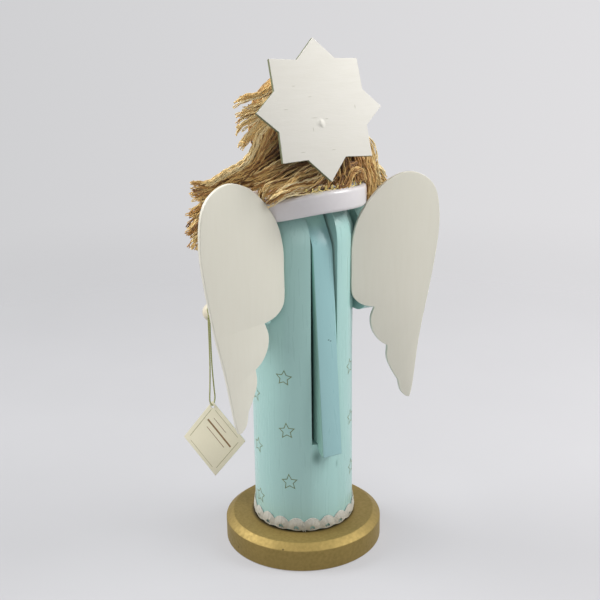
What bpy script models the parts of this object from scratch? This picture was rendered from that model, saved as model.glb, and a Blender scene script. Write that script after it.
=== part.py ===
"""Angel nutcracker: a slotted turned body whose back lever works the jaw of a wooden doll.

The origin is the centre of the base's underside, +Z is up and the angel faces -Y,
so its left side is +X and the lever hangs down its back, on the +Y side.
"""
import math

import bmesh
import bpy
from mathutils import Matrix, Vector

MM = 0.001

# Fits
GAP = 0.3 * MM                  # between pieces that touch
LEVER_CLEARANCE = 1.0 * MM      # between the lever and its slot, on every side

# Base, a turned disc
BASE_RADIUS = 56.0 * MM
BASE_SIDE = 14.2 * MM
BASE_CHAMFER = 5.2 * MM
BASE_FOOT_ROUND = 1.0 * MM

# Body, a turned robe with a rounded shoulder
BODY_RADIUS = 35.0 * MM
BODY_HEIGHT = 227.3 * MM
SHOULDER_ROUND = 12.0 * MM

# Lever, a bent board in the body's back slot, seen from the side
LEVER_WIDTH = 16.0 * MM
LEVER_EDGE_ROUND = 0.8 * MM
HANDLE_THICKNESS = 20.0 * MM
HANDLE_DROP = 145.0 * MM        # from the bend down to the tip
HANDLE_LEAN = 12.0 * MM         # how far the tip stands behind the bend
HANDLE_TIP_ROUND = 8.0 * MM
BEND_INSET = 3.5 * MM           # the bend lies this far inside the body's surface
BEND_BELOW_TOP = 24.0 * MM      # and this far under the body's top
NECK_ARM_BACK = 9.0 * MM
NECK_ARM_FRONT = -10.0 * MM
ARM_TAPER = 3.0 * MM            # the arm's back leans in by this at the mouth
BEND_CHAMFER = math.radians(43.0)

# Pivot pin, through the neck
PIN_RADIUS = 2.5 * MM
PIVOT_Y = 2.0 * MM
PIVOT_ABOVE_BODY = 11.0 * MM
PIN_INSET = 1.0 * MM            # the pin's ends lie this far inside the neck

# Head, an egg on a neck, with the mouth slot open at the front
HEAD_RADIUS = 28.0 * MM
HEAD_HALF_HEIGHT = 33.0 * MM
HEAD_CENTRE_ABOVE_BODY = 49.0 * MM
NECK_RADIUS = 22.0 * MM
NECK_SLOT_BACK = 5.0 * MM       # room behind the arm for its swing
MOUTH_ABOVE_BODY = 41.0 * MM
MOUTH_GAP = 1.5 * MM
JAW_HEIGHT = 16.0 * MM
JAW_INSET = 3.0 * MM            # the chin lies this far behind the face
CHIN_ROUND = 12.0 * MM
NOSE_RADIUS = 3.2 * MM
NOSE_BELOW_CENTRE = 1.0 * MM

# Collar, a turned ring that sits a little crooked on the shoulders, and its braid
COLLAR_WALL = 13.8 * MM
COLLAR_OVERHANG = 8.8 * MM      # how far the ring stands out over the body
COLLAR_HEIGHT = 16.4 * MM
COLLAR_ROUND = 4.0 * MM
COLLAR_TILT = math.radians(4.0)
COLLAR_SEAT = 0.5 * MM          # between its low side and the body's shoulder
BRAID_RADIUS = 1.5 * MM
BRAID_INSET = 4.5 * MM          # from the ring's outer edge to the braid's middle

# Lace round the hem
LACE_HEIGHT = 10.0 * MM
LACE_THICKNESS = 1.0 * MM
LACE_SCALLOPS = 20
LACE_COLUMNS = 5                # facets across a scallop
LACE_SCALLOP_DEPTH = 2.4 * MM

# Sleeves, cut from board, and turned hands
SLEEVE_THICKNESS = 18.0 * MM
SLEEVE_TOP_BELOW_BODY = 5.0 * MM
SLEEVE_HEIGHT = 72.0 * MM
SLEEVE_FRONT = -16.0 * MM
SHOULDER_CURVE = 20.0 * MM
ELBOW_CURVE = 20.0 * MM
SLEEVE_EDGE_ROUND = 3.0 * MM
CUFF_FRONT = -35.0 * MM
CUFF_HEIGHT = 16.0 * MM
WRIST_RADIUS = 6.0 * MM
WRIST_LENGTH = 9.0 * MM
HAND_RADIUS = 7.5 * MM
HAND_LENGTH = 15.0 * MM
HAND_PEG = 8.0 * MM
HAND_BELOW_SLEEVE = 3.0 * MM    # the hand's axis lies this far under the elbow

# Wings, cut from thin plywood and swept back
WING_THICKNESS = 4.0 * MM
WING_SWEEP = math.radians(14.0)
WING_CLEARANCE = 0.7 * MM       # between a wing's inner edge and the body
WING_UNDER_COLLAR = 7.8 * MM    # how far that edge may tuck in under the collar's rim
WING_SIDE = math.radians(43.4)  # how far round the body that edge lies, from the angel's side
WING_RISE = 27.5 * MM           # how far the lobe stands above the sleeve
WING_HEIGHT = 163.7 * MM
WING_WIDTH = 63.0 * MM
PLY_EDGE_ROUND = 0.6 * MM

# Halo star, an eight-pointed plywood star tipped forward behind the head
STAR_TIP_RADIUS = 44.4 * MM
STAR_NOTCH_RADIUS = 33.4 * MM
STAR_POINTS = 8
STAR_THICKNESS = 3.5 * MM
STAR_TILT = math.radians(17.3)
STAR_ASIDE = 3.7 * MM           # the star sits a little to the angel's left
STAR_ABOVE_HEAD = 16.0 * MM     # its middle lies this far above the head's
STAR_BEHIND_HAIR = 0.7 * MM     # and its middle plane this far behind the hair
STAR_PEG_RADIUS = 2.6 * MM
STAR_PEG_DROP = 8.0 * MM        # below the star's centre, along the star
STAR_PEG_HEAD = 1.6 * MM
STAR_PEG_LENGTH = 24.0 * MM     # in front of the star's middle

# Hair, yarn locks over a cap
HAIR_AT_SIDES = 6.5 * MM        # the cap's depth over the head
HAIR_AT_BACK = 9.0 * MM
HAIR_ON_TOP = 7.0 * MM
HAIR_AT_BROW = 7.0 * MM
HAIR_LIFT = 2.0 * MM            # the cap's middle lies this far above the head's
FACE_OPENING_INSET = 3.5 * MM   # the face opening is this much narrower than the head
FACE_OPENING_BELOW_CENTRE = 4.0 * MM
FACE_OPENING_BACK = -5.0 * MM
NAPE_RADIUS = 6.3 * MM
NAPE_OUT = 5.0 * MM             # the roll's middle lies this far outside the head
NAPE_START = math.radians(25.0) # from the angel's side
NAPE_PIECES = 18
NAPE_WAVES = 5
NAPE_WAVE = 0.1                 # share by which the roll narrows between its waves
LOCK_RADIUS = 8.0 * MM
# The strands of each lock run from under the cap out over the shoulder. Their points are mm out from the
# cap's side, mm behind the axis, mm above the head's middle, and the share of the radius
LEFT_STRANDS = (
    ((-8, 10, 8, 0.9), (1, 12, -2, 1.0), (12, 13, -17, 1.1), (25, 13, -28, 1.1), (37, 12, -36, 1.1),
     (45, 11, -47, 0.9), (48, 11, -60, 0.4)),
    ((-5, 9, 2, 0.8), (3, 11, -12, 0.9), (14, 12, -29, 1.0), (25, 12, -42, 1.05), (35, 11, -54, 0.9),
     (40, 11, -64, 0.4)),
    ((-7, 2, 4, 0.8), (3, 2, -10, 0.9), (16, 2, -26, 1.0), (29, 3, -40, 1.05), (39, 4, -53, 0.9),
     (43, 4, -66, 0.4)))
RIGHT_STRANDS = (
    ((-8, 10, 8, 0.9), (0, 14, -4, 0.9), (8, 17, -16, 0.85), (13, 19, -29, 0.75), (15, 19, -41, 0.4)),
    ((-7, 2, 4, 0.8), (3, 2, -9, 0.9), (12.5, 3, -21, 0.9), (18, 4, -35, 0.8), (20, 4, -48, 0.4)))

# Dowels that hold the turned and cut pieces together
BASE_DOWEL_RADIUS = 6.0 * MM
BASE_DOWEL_DEPTH = 12.0 * MM
NECK_DOWEL_RADIUS = 3.0 * MM
NECK_DOWEL_DEPTH = 8.0 * MM
NECK_DOWEL_Y = 8.0 * MM
SHOULDER_DOWEL_RADIUS = 4.0 * MM
SHOULDER_DOWEL_DEPTH = 9.0 * MM
SHOULDER_DOWEL_BELOW_TOP = 20.0 * MM
WING_DOWEL_RADIUS = 3.0 * MM
WING_DOWEL_IN_WING = 2.5 * MM
WING_DOWEL_IN_SLEEVE = 9.0 * MM
WING_DOWEL_BELOW_TOP = 30.0 * MM    # under the sleeve's top

# Swing tag on its string, looped on the left wrist
TAG_LENGTH = 46.0 * MM
TAG_WIDTH = 38.0 * MM
TAG_THICKNESS = 0.6 * MM
TAG_TURN = math.radians(-63.0)
TAG_HOLE_RADIUS = 1.6 * MM
TAG_HOLE_INSET = 4.2 * MM       # from the top corner
STRING_RADIUS = 0.5 * MM
STRING_DROP = 67.7 * MM
LOOP_BEFORE_CUFF = 7.5 * MM     # where the thread goes round the wrist
KNOT_CLEARANCE = 0.5 * MM       # between that loop and the hanging thread
KNOT_TURN = math.radians(-42.5) # where the thread hangs from the loop, below the wrist's outer side

# Places that follow from the sizes above
BASE_TOP = BASE_SIDE + BASE_CHAMFER
BODY_BOTTOM = BASE_TOP + GAP
BODY_TOP = BODY_BOTTOM + BODY_HEIGHT
SLOT_WIDTH = LEVER_WIDTH + 2 * LEVER_CLEARANCE
PIVOT_Z = BODY_TOP + PIVOT_ABOVE_BODY
HEAD_BOTTOM = BODY_TOP + GAP
HEAD_CENTRE_Z = BODY_TOP + HEAD_CENTRE_ABOVE_BODY
MOUTH_Z = BODY_TOP + MOUTH_ABOVE_BODY
BEND_Z = BODY_TOP - BEND_BELOW_TOP
BEND_Y = BODY_RADIUS - BEND_INSET
TIP_Z = BEND_Z - HANDLE_DROP
TIP_Y = BEND_Y + HANDLE_LEAN
JAW_FRONT = JAW_INSET - HEAD_RADIUS
NECK_DOWEL_X = (SLOT_WIDTH / 2 + math.sqrt(NECK_RADIUS ** 2 - NECK_DOWEL_Y ** 2)) / 2
COLLAR_OUTER_RADIUS = BODY_RADIUS + COLLAR_OVERHANG
COLLAR_INNER_RADIUS = COLLAR_OUTER_RADIUS - COLLAR_WALL
SHOULDER_FLAT = BODY_RADIUS - SHOULDER_ROUND
COLLAR_ON_ROUND = max(0.0, COLLAR_INNER_RADIUS * math.cos(COLLAR_TILT) - SHOULDER_FLAT)
SHOULDER_DIP = SHOULDER_ROUND - math.sqrt(SHOULDER_ROUND ** 2 - COLLAR_ON_ROUND ** 2)
COLLAR_BOTTOM = BODY_TOP - SHOULDER_DIP + COLLAR_INNER_RADIUS * math.sin(COLLAR_TILT) + COLLAR_SEAT
COLLAR_TOP = COLLAR_BOTTOM + COLLAR_HEIGHT
SLEEVE_TOP = BODY_TOP - SLEEVE_TOP_BELOW_BODY
SLEEVE_BOTTOM = SLEEVE_TOP - SLEEVE_HEIGHT
SLEEVE_X = BODY_RADIUS + GAP + SLEEVE_THICKNESS / 2
HAND_Z = SLEEVE_BOTTOM - HAND_BELOW_SLEEVE
WING_EDGE_RADIUS = max(BODY_RADIUS + WING_CLEARANCE, COLLAR_OUTER_RADIUS - WING_UNDER_COLLAR)
WING_ROOT_X = WING_EDGE_RADIUS * math.cos(WING_SIDE) - WING_THICKNESS * math.sin(WING_SWEEP)
WING_ROOT_Y = WING_EDGE_RADIUS * math.sin(WING_SIDE) + WING_THICKNESS * math.cos(WING_SWEEP)
WING_TIP_Z = SLEEVE_TOP + WING_RISE - WING_HEIGHT
WING_DOWEL_Z = SLEEVE_TOP - WING_DOWEL_BELOW_TOP
SLEEVE_BACK = WING_ROOT_Y + (SLEEVE_X - WING_ROOT_X) * math.tan(WING_SWEEP)     # before it is planed
HAIR_BACK = HEAD_RADIUS + HAIR_AT_BACK
HAIR_FRONT = HEAD_RADIUS + HAIR_AT_BROW
HAIR_CAP_CENTRE = Vector((0.0, (HAIR_BACK - HAIR_FRONT) / 2, HEAD_CENTRE_Z + HAIR_LIFT))
HAIR_CAP_AXES = Vector((HEAD_RADIUS + HAIR_AT_SIDES, (HAIR_BACK + HAIR_FRONT) / 2,
                        HEAD_HALF_HEIGHT + HAIR_ON_TOP - HAIR_LIFT))
FACE_OPENING_RADIUS = HEAD_RADIUS - FACE_OPENING_INSET
FACE_OPENING_Z = HEAD_CENTRE_Z - FACE_OPENING_BELOW_CENTRE
NAPE_RING_RADIUS = HEAD_RADIUS + NAPE_OUT
BRAID_TOP = COLLAR_TOP + GAP + 2 * BRAID_RADIUS
NAPE_REACH = NAPE_RING_RADIUS * math.cos(NAPE_START)
NAPE_Z = BRAID_TOP + NAPE_REACH * math.sin(COLLAR_TILT) + GAP + NAPE_RADIUS
HAIR_BOTTOM = NAPE_Z + NAPE_RADIUS + 2 * GAP
STAR_NORMAL = Vector((0.0, math.cos(STAR_TILT), math.sin(STAR_TILT)))
STAR_UP = Vector((0.0, -math.sin(STAR_TILT), math.cos(STAR_TILT)))
STAR_CENTRE = Vector((STAR_ASIDE, HAIR_BACK + STAR_BEHIND_HAIR, HEAD_CENTRE_Z + STAR_ABOVE_HEAD))
WRIST_LOOP_RADIUS = WRIST_RADIUS + GAP + STRING_RADIUS
WRIST_LOOP_CENTRE = Vector((SLEEVE_X, CUFF_FRONT - LOOP_BEFORE_CUFF, HAND_Z))
KNOT_RADIUS = WRIST_LOOP_RADIUS + 2 * STRING_RADIUS + KNOT_CLEARANCE
STRING_KNOT = WRIST_LOOP_CENTRE + Vector((math.cos(KNOT_TURN), 0.0, math.sin(KNOT_TURN))) * KNOT_RADIUS
TAG_HALF_DIAGONAL = math.hypot(TAG_LENGTH, TAG_WIDTH) / 2
TAG_CENTRE = STRING_KNOT - Vector((0, 0, STRING_DROP + TAG_HALF_DIAGONAL - TAG_HOLE_INSET))

for leftover in list(bpy.data.objects):
    bpy.data.objects.remove(leftover, do_unlink=True)

parts = bpy.data.collections.new("angel_nutcracker")
cutters = bpy.data.collections.new("cutters")
for group in (parts, cutters):
    bpy.context.scene.collection.children.link(group)


def paint(name, colour, roughness, metallic=0.0):
    """A plain Principled finish."""
    material = bpy.data.materials.new(name)
    material.use_nodes = True
    shader = material.node_tree.nodes["Principled BSDF"]
    shader.inputs["Base Color"].default_value = (*colour, 1.0)
    shader.inputs["Roughness"].default_value = roughness
    shader.inputs["Metallic"].default_value = metallic
    return material


GOLD_PAINT = paint("gold_paint", (0.26, 0.17, 0.05), 0.4, 0.7)
ROBE_PAINT = paint("robe_paint", (0.36, 0.62, 0.60), 0.35)
LEVER_PAINT = paint("lever_paint", (0.30, 0.52, 0.54), 0.35)
CREAM_PAINT = paint("cream_paint", (0.66, 0.63, 0.53), 0.5)
STAR_PAINT = paint("star_paint", (0.80, 0.78, 0.71), 0.5)
WHITE_GLOSS = paint("white_gloss", (0.72, 0.70, 0.72), 0.25)
SKIN_PAINT = paint("skin_paint", (0.80, 0.62, 0.48), 0.45)
BARE_WOOD = paint("bare_wood", (0.62, 0.44, 0.26), 0.6)
YARN = paint("yarn", (0.42, 0.26, 0.10), 0.9)
GOLD_THREAD = paint("gold_thread", (0.60, 0.45, 0.14), 0.3, 0.8)
LACE_COTTON = paint("lace_cotton", (0.68, 0.65, 0.57), 0.9)
STEEL = paint("steel", (0.55, 0.55, 0.55), 0.35, 1.0)
CARD = paint("card", (0.72, 0.68, 0.50), 0.8)
OLIVE_THREAD = paint("olive_thread", (0.26, 0.28, 0.12), 0.7)


def add_part(obj, material):
    """Files an object as a part with its finish, smooth except at its corners."""
    for owner in list(obj.users_collection):
        owner.objects.unlink(obj)
    parts.objects.link(obj)
    obj.data.materials.clear()
    obj.data.materials.append(material)
    if obj.type == "MESH":
        obj.data.shade_smooth()
        obj.data.set_sharp_from_angle(angle=math.radians(35))
    return obj


def add_cutter(obj):
    for owner in list(obj.users_collection):
        owner.objects.unlink(obj)
    cutters.objects.link(obj)
    obj.hide_render = True
    obj.display_type = "WIRE"
    return obj


def cut(obj, cutter):
    """Takes the cutter's shape out of a part."""
    boolean = obj.modifiers.new("cut_" + cutter.name, "BOOLEAN")
    boolean.operation = "DIFFERENCE"
    boolean.object = cutter


def fuse(obj, other):
    """Makes one body of a part and another shape."""
    boolean = obj.modifiers.new("fuse_" + other.name, "BOOLEAN")
    boolean.operation = "UNION"
    boolean.object = other


def mesh_object(name, bm):
    mesh = bpy.data.meshes.new(name)
    bm.to_mesh(mesh)
    bm.free()
    obj = bpy.data.objects.new(name, mesh)
    bpy.context.scene.collection.objects.link(obj)
    return obj


def turned(name, profile, steps=48):
    """A profile of (radius, height) points, run down its outer side, turned about Z."""
    bm = bmesh.new()
    points = [bm.verts.new((radius, 0.0, height)) for radius, height in profile]
    for upper, lower in zip(points, points[1:]):
        bm.edges.new((upper, lower))
    obj = mesh_object(name, bm)
    screw = obj.modifiers.new("turning", "SCREW")
    screw.steps = steps
    screw.render_steps = steps
    screw.use_merge_vertices = True
    screw.merge_threshold = 0.00001
    screw.use_smooth_shade = True
    return obj


def arc(centre, radius, start, end, pieces):
    """Points of a circular arc, angles in degrees."""
    turn = [math.radians(start + (end - start) * i / pieces) for i in range(pieces + 1)]
    return [(centre[0] + radius * math.cos(a), centre[1] + radius * math.sin(a)) for a in turn]


def as_mesh(obj):
    """The same curve as a mesh, with its loose caps welded on."""
    bpy.context.view_layer.update()
    evaluated = obj.evaluated_get(bpy.context.evaluated_depsgraph_get())
    mesh = bpy.data.meshes.new_from_object(evaluated)
    bm = bmesh.new()
    bm.from_mesh(mesh)
    bmesh.ops.remove_doubles(bm, verts=bm.verts, dist=0.000005)
    bmesh.ops.recalc_face_normals(bm, faces=bm.faces)
    bm.to_mesh(mesh)
    bm.free()
    name = obj.name
    solid = bpy.data.objects.new(name + "_solid", mesh)
    bpy.context.scene.collection.objects.link(solid)
    solid.matrix_world = obj.matrix_world.copy()
    bpy.data.objects.remove(obj, do_unlink=True)
    solid.name = name
    return solid


def plate(name, outline, thickness, edge_round=0.0):
    """A flat outline in local XY with a thickness along local Z, centred on the plane."""
    curve = bpy.data.curves.new(name, "CURVE")
    curve.dimensions = "2D"
    curve.fill_mode = "BOTH"
    curve.extrude = thickness / 2 - edge_round
    curve.bevel_depth = edge_round
    curve.bevel_resolution = 1
    curve.offset = -edge_round
    spline = curve.splines.new("POLY")
    spline.points.add(len(outline) - 1)
    for point, (x, y) in zip(spline.points, outline):
        point.co = (x, y, 0.0, 1.0)
    spline.use_cyclic_u = True
    obj = bpy.data.objects.new(name, curve)
    bpy.context.scene.collection.objects.link(obj)
    return obj


def side_board(name, outline, thickness, x=0.0, edge_round=0.0):
    """A board standing front to back: the outline's points are (Y, Z), the thickness is along X."""
    obj = plate(name, outline, thickness, edge_round)
    obj.rotation_euler = (math.radians(90), 0.0, math.radians(90))
    obj.location.x = x
    return as_mesh(obj)


def rod(name, radius, start, end, sides=20):
    """A round rod between two points."""
    start, end = Vector(start), Vector(end)
    along = end - start
    bm = bmesh.new()
    bmesh.ops.create_cone(
        bm, cap_ends=True, segments=sides, radius1=radius, radius2=radius, depth=along.length)
    obj = mesh_object(name, bm)
    obj.rotation_mode = "QUATERNION"
    obj.rotation_quaternion = along.to_track_quat("Z", "Y")
    obj.location = (start + end) / 2
    return obj


def block(name, low, high):
    low, high = Vector(low), Vector(high)
    bm = bmesh.new()
    bmesh.ops.create_cube(bm, size=1.0)
    bmesh.ops.scale(bm, vec=high - low, verts=bm.verts)
    obj = mesh_object(name, bm)
    obj.location = (low + high) / 2
    return obj


def ellipsoid(name, centre, axes, around=32, rows=16):
    bm = bmesh.new()
    bmesh.ops.create_uvsphere(bm, u_segments=around, v_segments=rows, radius=1.0)
    bmesh.ops.scale(bm, vec=axes, verts=bm.verts)
    obj = mesh_object(name, bm)
    obj.location = centre
    return obj


def smooth_route(points, pieces):
    """Points of a Catmull-Rom curve through the given ones, each with any number of coordinates."""
    ends = [points[0], *points, points[-1]]
    route = []
    for a, b, c, d in zip(ends, ends[1:], ends[2:], ends[3:]):
        for i in range(pieces):
            t = i / pieces
            route.append([
                q + 0.5 * t * (r - p + t * (2 * p - 5 * q + 4 * r - s + t * (3 * q - p - 3 * r + s)))
                for p, q, r, s in zip(a, b, c, d)])
    route.append(list(points[-1]))
    return route


def tube(name, route, radius, resolution, cyclic=False):
    """A capped tube along (x, y, z, share of the radius) points."""
    curve = bpy.data.curves.new(name, "CURVE")
    curve.dimensions = "3D"
    curve.bevel_depth = radius
    curve.bevel_resolution = resolution
    curve.use_fill_caps = True
    spline = curve.splines.new("POLY")
    spline.points.add(len(route) - 1)
    for point, (x, y, z, share) in zip(spline.points, route):
        point.co = (x, y, z, 1.0)
        point.radius = share
    spline.use_cyclic_u = cyclic
    obj = bpy.data.objects.new(name, curve)
    bpy.context.scene.collection.objects.link(obj)
    return as_mesh(obj)


def dowel(name, radius, start, end, holed, material=BARE_WOOD):
    """A dowel, and the hole for it in each of the pieces that it joins."""
    start, end = Vector(start), Vector(end)
    along = (end - start).normalized()
    hole = add_cutter(rod(name + "_hole", radius + GAP, start - along * GAP, end + along * GAP))
    for piece in holed:
        cut(piece, hole)
    return add_part(rod(name, radius, start, end), material)


def make_base():
    """Turned disc with a chamfered top edge; a dowel socket is bored in its top."""
    socket = BASE_DOWEL_RADIUS + GAP
    floor = BASE_TOP - BASE_DOWEL_DEPTH
    foot = BASE_FOOT_ROUND
    profile = [(0.0, floor), (socket, floor), (socket, BASE_TOP),
               (BASE_RADIUS - BASE_CHAMFER, BASE_TOP), (BASE_RADIUS, BASE_SIDE),
               (BASE_RADIUS, foot), (BASE_RADIUS - foot, 0.0), (0.0, 0.0)]
    return add_part(turned("base", profile, 64), GOLD_PAINT)


def slot_outline():
    """Side view of the body's slot: it follows the lever's front and is open behind and above."""
    front = BEND_Y - HANDLE_THICKNESS - LEVER_CLEARANCE
    lean = HANDLE_LEAN * (BEND_Z - TIP_Z - HANDLE_TIP_ROUND) / HANDLE_DROP
    floor = TIP_Z + HANDLE_TIP_ROUND - LEVER_CLEARANCE
    outside = 2 * BODY_RADIUS
    above = BODY_TOP + LEVER_CLEARANCE
    return [(outside, floor), (front + lean, floor), (front, BEND_Z - LEVER_CLEARANCE),
            (NECK_ARM_FRONT - LEVER_CLEARANCE, BODY_TOP - LEVER_CLEARANCE),
            (NECK_ARM_FRONT - LEVER_CLEARANCE, above), (outside, above)]


def make_body():
    """Turned robe with a rounded shoulder, slotted up its back for the lever."""
    socket = BASE_DOWEL_RADIUS + GAP
    roof = BODY_BOTTOM + BASE_DOWEL_DEPTH
    shoulder = arc((SHOULDER_FLAT, BODY_TOP - SHOULDER_ROUND), SHOULDER_ROUND, 90, 0, 6)
    profile = [(0.0, BODY_TOP), *shoulder, (BODY_RADIUS, BODY_BOTTOM), (socket, BODY_BOTTOM),
               (socket, roof), (0.0, roof)]
    body = add_part(turned("body", profile, 52), ROBE_PAINT)
    cut(body, add_cutter(side_board("lever_slot", slot_outline(), SLOT_WIDTH)))
    return body


def make_lace():
    """Cotton lace glued round the hem, its top edge in scallops."""
    columns = LACE_SCALLOPS * LACE_COLUMNS
    bm = bmesh.new()
    bmesh.ops.create_circle(bm, segments=columns, radius=BODY_RADIUS + GAP)
    upper = bmesh.ops.extrude_edge_only(bm, edges=bm.edges[:])
    for vert in (item for item in upper["geom"] if isinstance(item, bmesh.types.BMVert)):
        turn = math.atan2(vert.co.y, vert.co.x)
        scallop = abs(math.sin(turn * LACE_SCALLOPS / 2))
        vert.co.z = LACE_HEIGHT - LACE_SCALLOP_DEPTH * (1 - scallop)
    bmesh.ops.recalc_face_normals(bm, faces=bm.faces)
    lace = mesh_object("lace_hem", bm)
    lace.location.z = BASE_TOP + GAP
    wall = lace.modifiers.new("cloth", "SOLIDIFY")
    wall.thickness = LACE_THICKNESS
    wall.offset = 1.0
    return add_part(lace, LACE_COTTON)


def make_lever():
    """Bent board: a handle in the body's slot, and an arm up through the neck to the jaw."""
    front = BEND_Y - HANDLE_THICKNESS
    heel = TIP_Z + HANDLE_TIP_ROUND
    lean = HANDLE_LEAN * (BEND_Z - heel) / HANDLE_DROP
    shoulder = BEND_Z + (BEND_Y - NECK_ARM_BACK) * math.tan(BEND_CHAMFER)
    outline = [(BEND_Y, BEND_Z), (NECK_ARM_BACK, shoulder), (NECK_ARM_BACK, PIVOT_Z),
               (NECK_ARM_BACK - ARM_TAPER, MOUTH_Z), (NECK_ARM_FRONT, MOUTH_Z),
               (NECK_ARM_FRONT, BODY_TOP + LEVER_CLEARANCE), (front, BEND_Z),
               (front + lean, heel), *arc((TIP_Y, heel), HANDLE_TIP_ROUND, 180, 270, 6)]
    lever = add_part(side_board("lever", outline, LEVER_WIDTH, 0.0, LEVER_EDGE_ROUND), LEVER_PAINT)
    pivot = (PIVOT_Y, PIVOT_Z)
    bore = rod("lever_bore", PIN_RADIUS + GAP, (-LEVER_WIDTH, *pivot), (LEVER_WIDTH, *pivot))
    cut(lever, add_cutter(bore))
    return lever


def make_jaw():
    """Chin block glued on the front of the lever's arm; its top is the lower bite."""
    back = NECK_ARM_FRONT - GAP
    chin = MOUTH_Z - JAW_HEIGHT
    curve = arc((JAW_FRONT + CHIN_ROUND, chin + CHIN_ROUND), CHIN_ROUND, 180, 270, 8)
    outline = [(back, MOUTH_Z), (JAW_FRONT, MOUTH_Z), *curve, (back, chin)]
    return add_part(side_board("jaw", outline, LEVER_WIDTH, 0.0, LEVER_EDGE_ROUND), SKIN_PAINT)


def head_profile(grow=0.0):
    """The egg and its neck as (radius, height) points, from the crown down."""
    join = math.degrees(math.acos(NECK_RADIUS / HEAD_RADIUS))
    egg = arc((0.0, 0.0), 1.0, 90, -join, 13)
    points = [((HEAD_RADIUS + grow) * r, HEAD_CENTRE_Z + (HEAD_HALF_HEIGHT + grow) * h) for r, h in egg]
    points[0] = (0.0, points[0][1])
    return points + [(NECK_RADIUS + grow, HEAD_BOTTOM - grow), (0.0, HEAD_BOTTOM - grow)]


def make_head():
    """Turned head and neck; the mouth slot is open at the front and below."""
    head = add_part(turned("head", head_profile(), 36), SKIN_PAINT)
    roof = MOUTH_Z + MOUTH_GAP
    ahead = -2 * HEAD_RADIUS
    below = HEAD_BOTTOM - LEVER_CLEARANCE
    back = NECK_ARM_BACK + NECK_SLOT_BACK
    outline = [(ahead, below), (ahead, roof), (back, roof), (back, PIVOT_Z - PIN_RADIUS),
               (2 * back, HEAD_BOTTOM + NECK_SLOT_BACK), (2 * back, below)]
    cut(head, add_cutter(side_board("mouth_slot", outline, SLOT_WIDTH)))
    return head


def make_pivot_pin(head):
    reach = NECK_RADIUS - PIN_INSET
    ends = (-reach, PIVOT_Y, PIVOT_Z), (reach, PIVOT_Y, PIVOT_Z)
    return dowel("pivot_pin", PIN_RADIUS, *ends, [head], STEEL)


def make_nose(head_room):
    """Wooden bead seated on the face."""
    centre = (0.0, -HEAD_RADIUS - NOSE_RADIUS / 4, HEAD_CENTRE_Z - NOSE_BELOW_CENTRE)
    nose = ellipsoid("nose", centre, Vector((1.0, 1.0, 0.9)) * NOSE_RADIUS, 18, 8)
    cut(nose, head_room)
    return add_part(nose, SKIN_PAINT)


def make_collar():
    """Turned white ring with rounded edges, tipped down to the angel's left, and its gold braid."""
    edge = COLLAR_ROUND
    inner, outer, top = COLLAR_INNER_RADIUS, COLLAR_OUTER_RADIUS, COLLAR_HEIGHT
    profile = [*arc((outer - edge, top - edge), edge, 90, 0, 4), *arc((outer - edge, edge), edge, 0, -90, 4),
               (inner, 0.0), *arc((inner + edge / 2, top - edge / 2), edge / 2, 180, 90, 2)]
    collar = turned("collar", profile + profile[:1], 40)
    bpy.ops.mesh.primitive_torus_add(
        major_radius=outer - BRAID_INSET, minor_radius=BRAID_RADIUS, major_segments=48, minor_segments=6)
    braid = bpy.context.object
    braid.name = "gold_braid"
    braid.data.transform(Matrix.Translation((0.0, 0.0, top + GAP + BRAID_RADIUS)))
    for ring in (collar, braid):
        ring.location.z = COLLAR_BOTTOM
        ring.rotation_euler.y = COLLAR_TILT
    return add_part(collar, WHITE_GLOSS), add_part(braid, GOLD_THREAD)


def wing_frame(side):
    """Place of a wing's back face: its inner edge at the origin, +X outward for the left wing."""
    root = Matrix.Translation((side * WING_ROOT_X, WING_ROOT_Y, 0.0))
    return root @ Matrix.Rotation(side * WING_SWEEP, 4, "Z")


def sleeve_outline():
    """Side view of a bell sleeve, upper arm and forearm in one board."""
    shoulder = (SLEEVE_FRONT + SHOULDER_CURVE, SLEEVE_TOP - SHOULDER_CURVE)
    elbow = (SLEEVE_BACK - ELBOW_CURVE, SLEEVE_BOTTOM + ELBOW_CURVE)
    return [*arc(shoulder, SHOULDER_CURVE, 180, 60, 8), (SLEEVE_BACK, SLEEVE_TOP - SHOULDER_CURVE),
            *arc(elbow, ELBOW_CURVE, 0, -90, 8), (SLEEVE_FRONT / 2, SLEEVE_BOTTOM - GAP),
            (CUFF_FRONT, HAND_Z - CUFF_HEIGHT / 2), (CUFF_FRONT, HAND_Z + CUFF_HEIGHT / 2),
            (SLEEVE_FRONT, HAND_Z + CUFF_HEIGHT)]


def make_sleeve(side, name):
    """Board sleeve, its back planed flat to the wing that is glued on it."""
    x = side * SLEEVE_X
    board = side_board("sleeve_" + name, sleeve_outline(), SLEEVE_THICKNESS, x, SLEEVE_EDGE_ROUND)
    sleeve = add_part(board, ROBE_PAINT)
    room = WING_THICKNESS + GAP
    reach = 2 * WING_WIDTH
    behind = block("wing_room_" + name, (-reach, -room, 0.0), (reach, reach, 2 * BODY_TOP))
    behind.matrix_world = wing_frame(side) @ behind.matrix_basis
    cut(sleeve, add_cutter(behind))
    return sleeve


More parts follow.
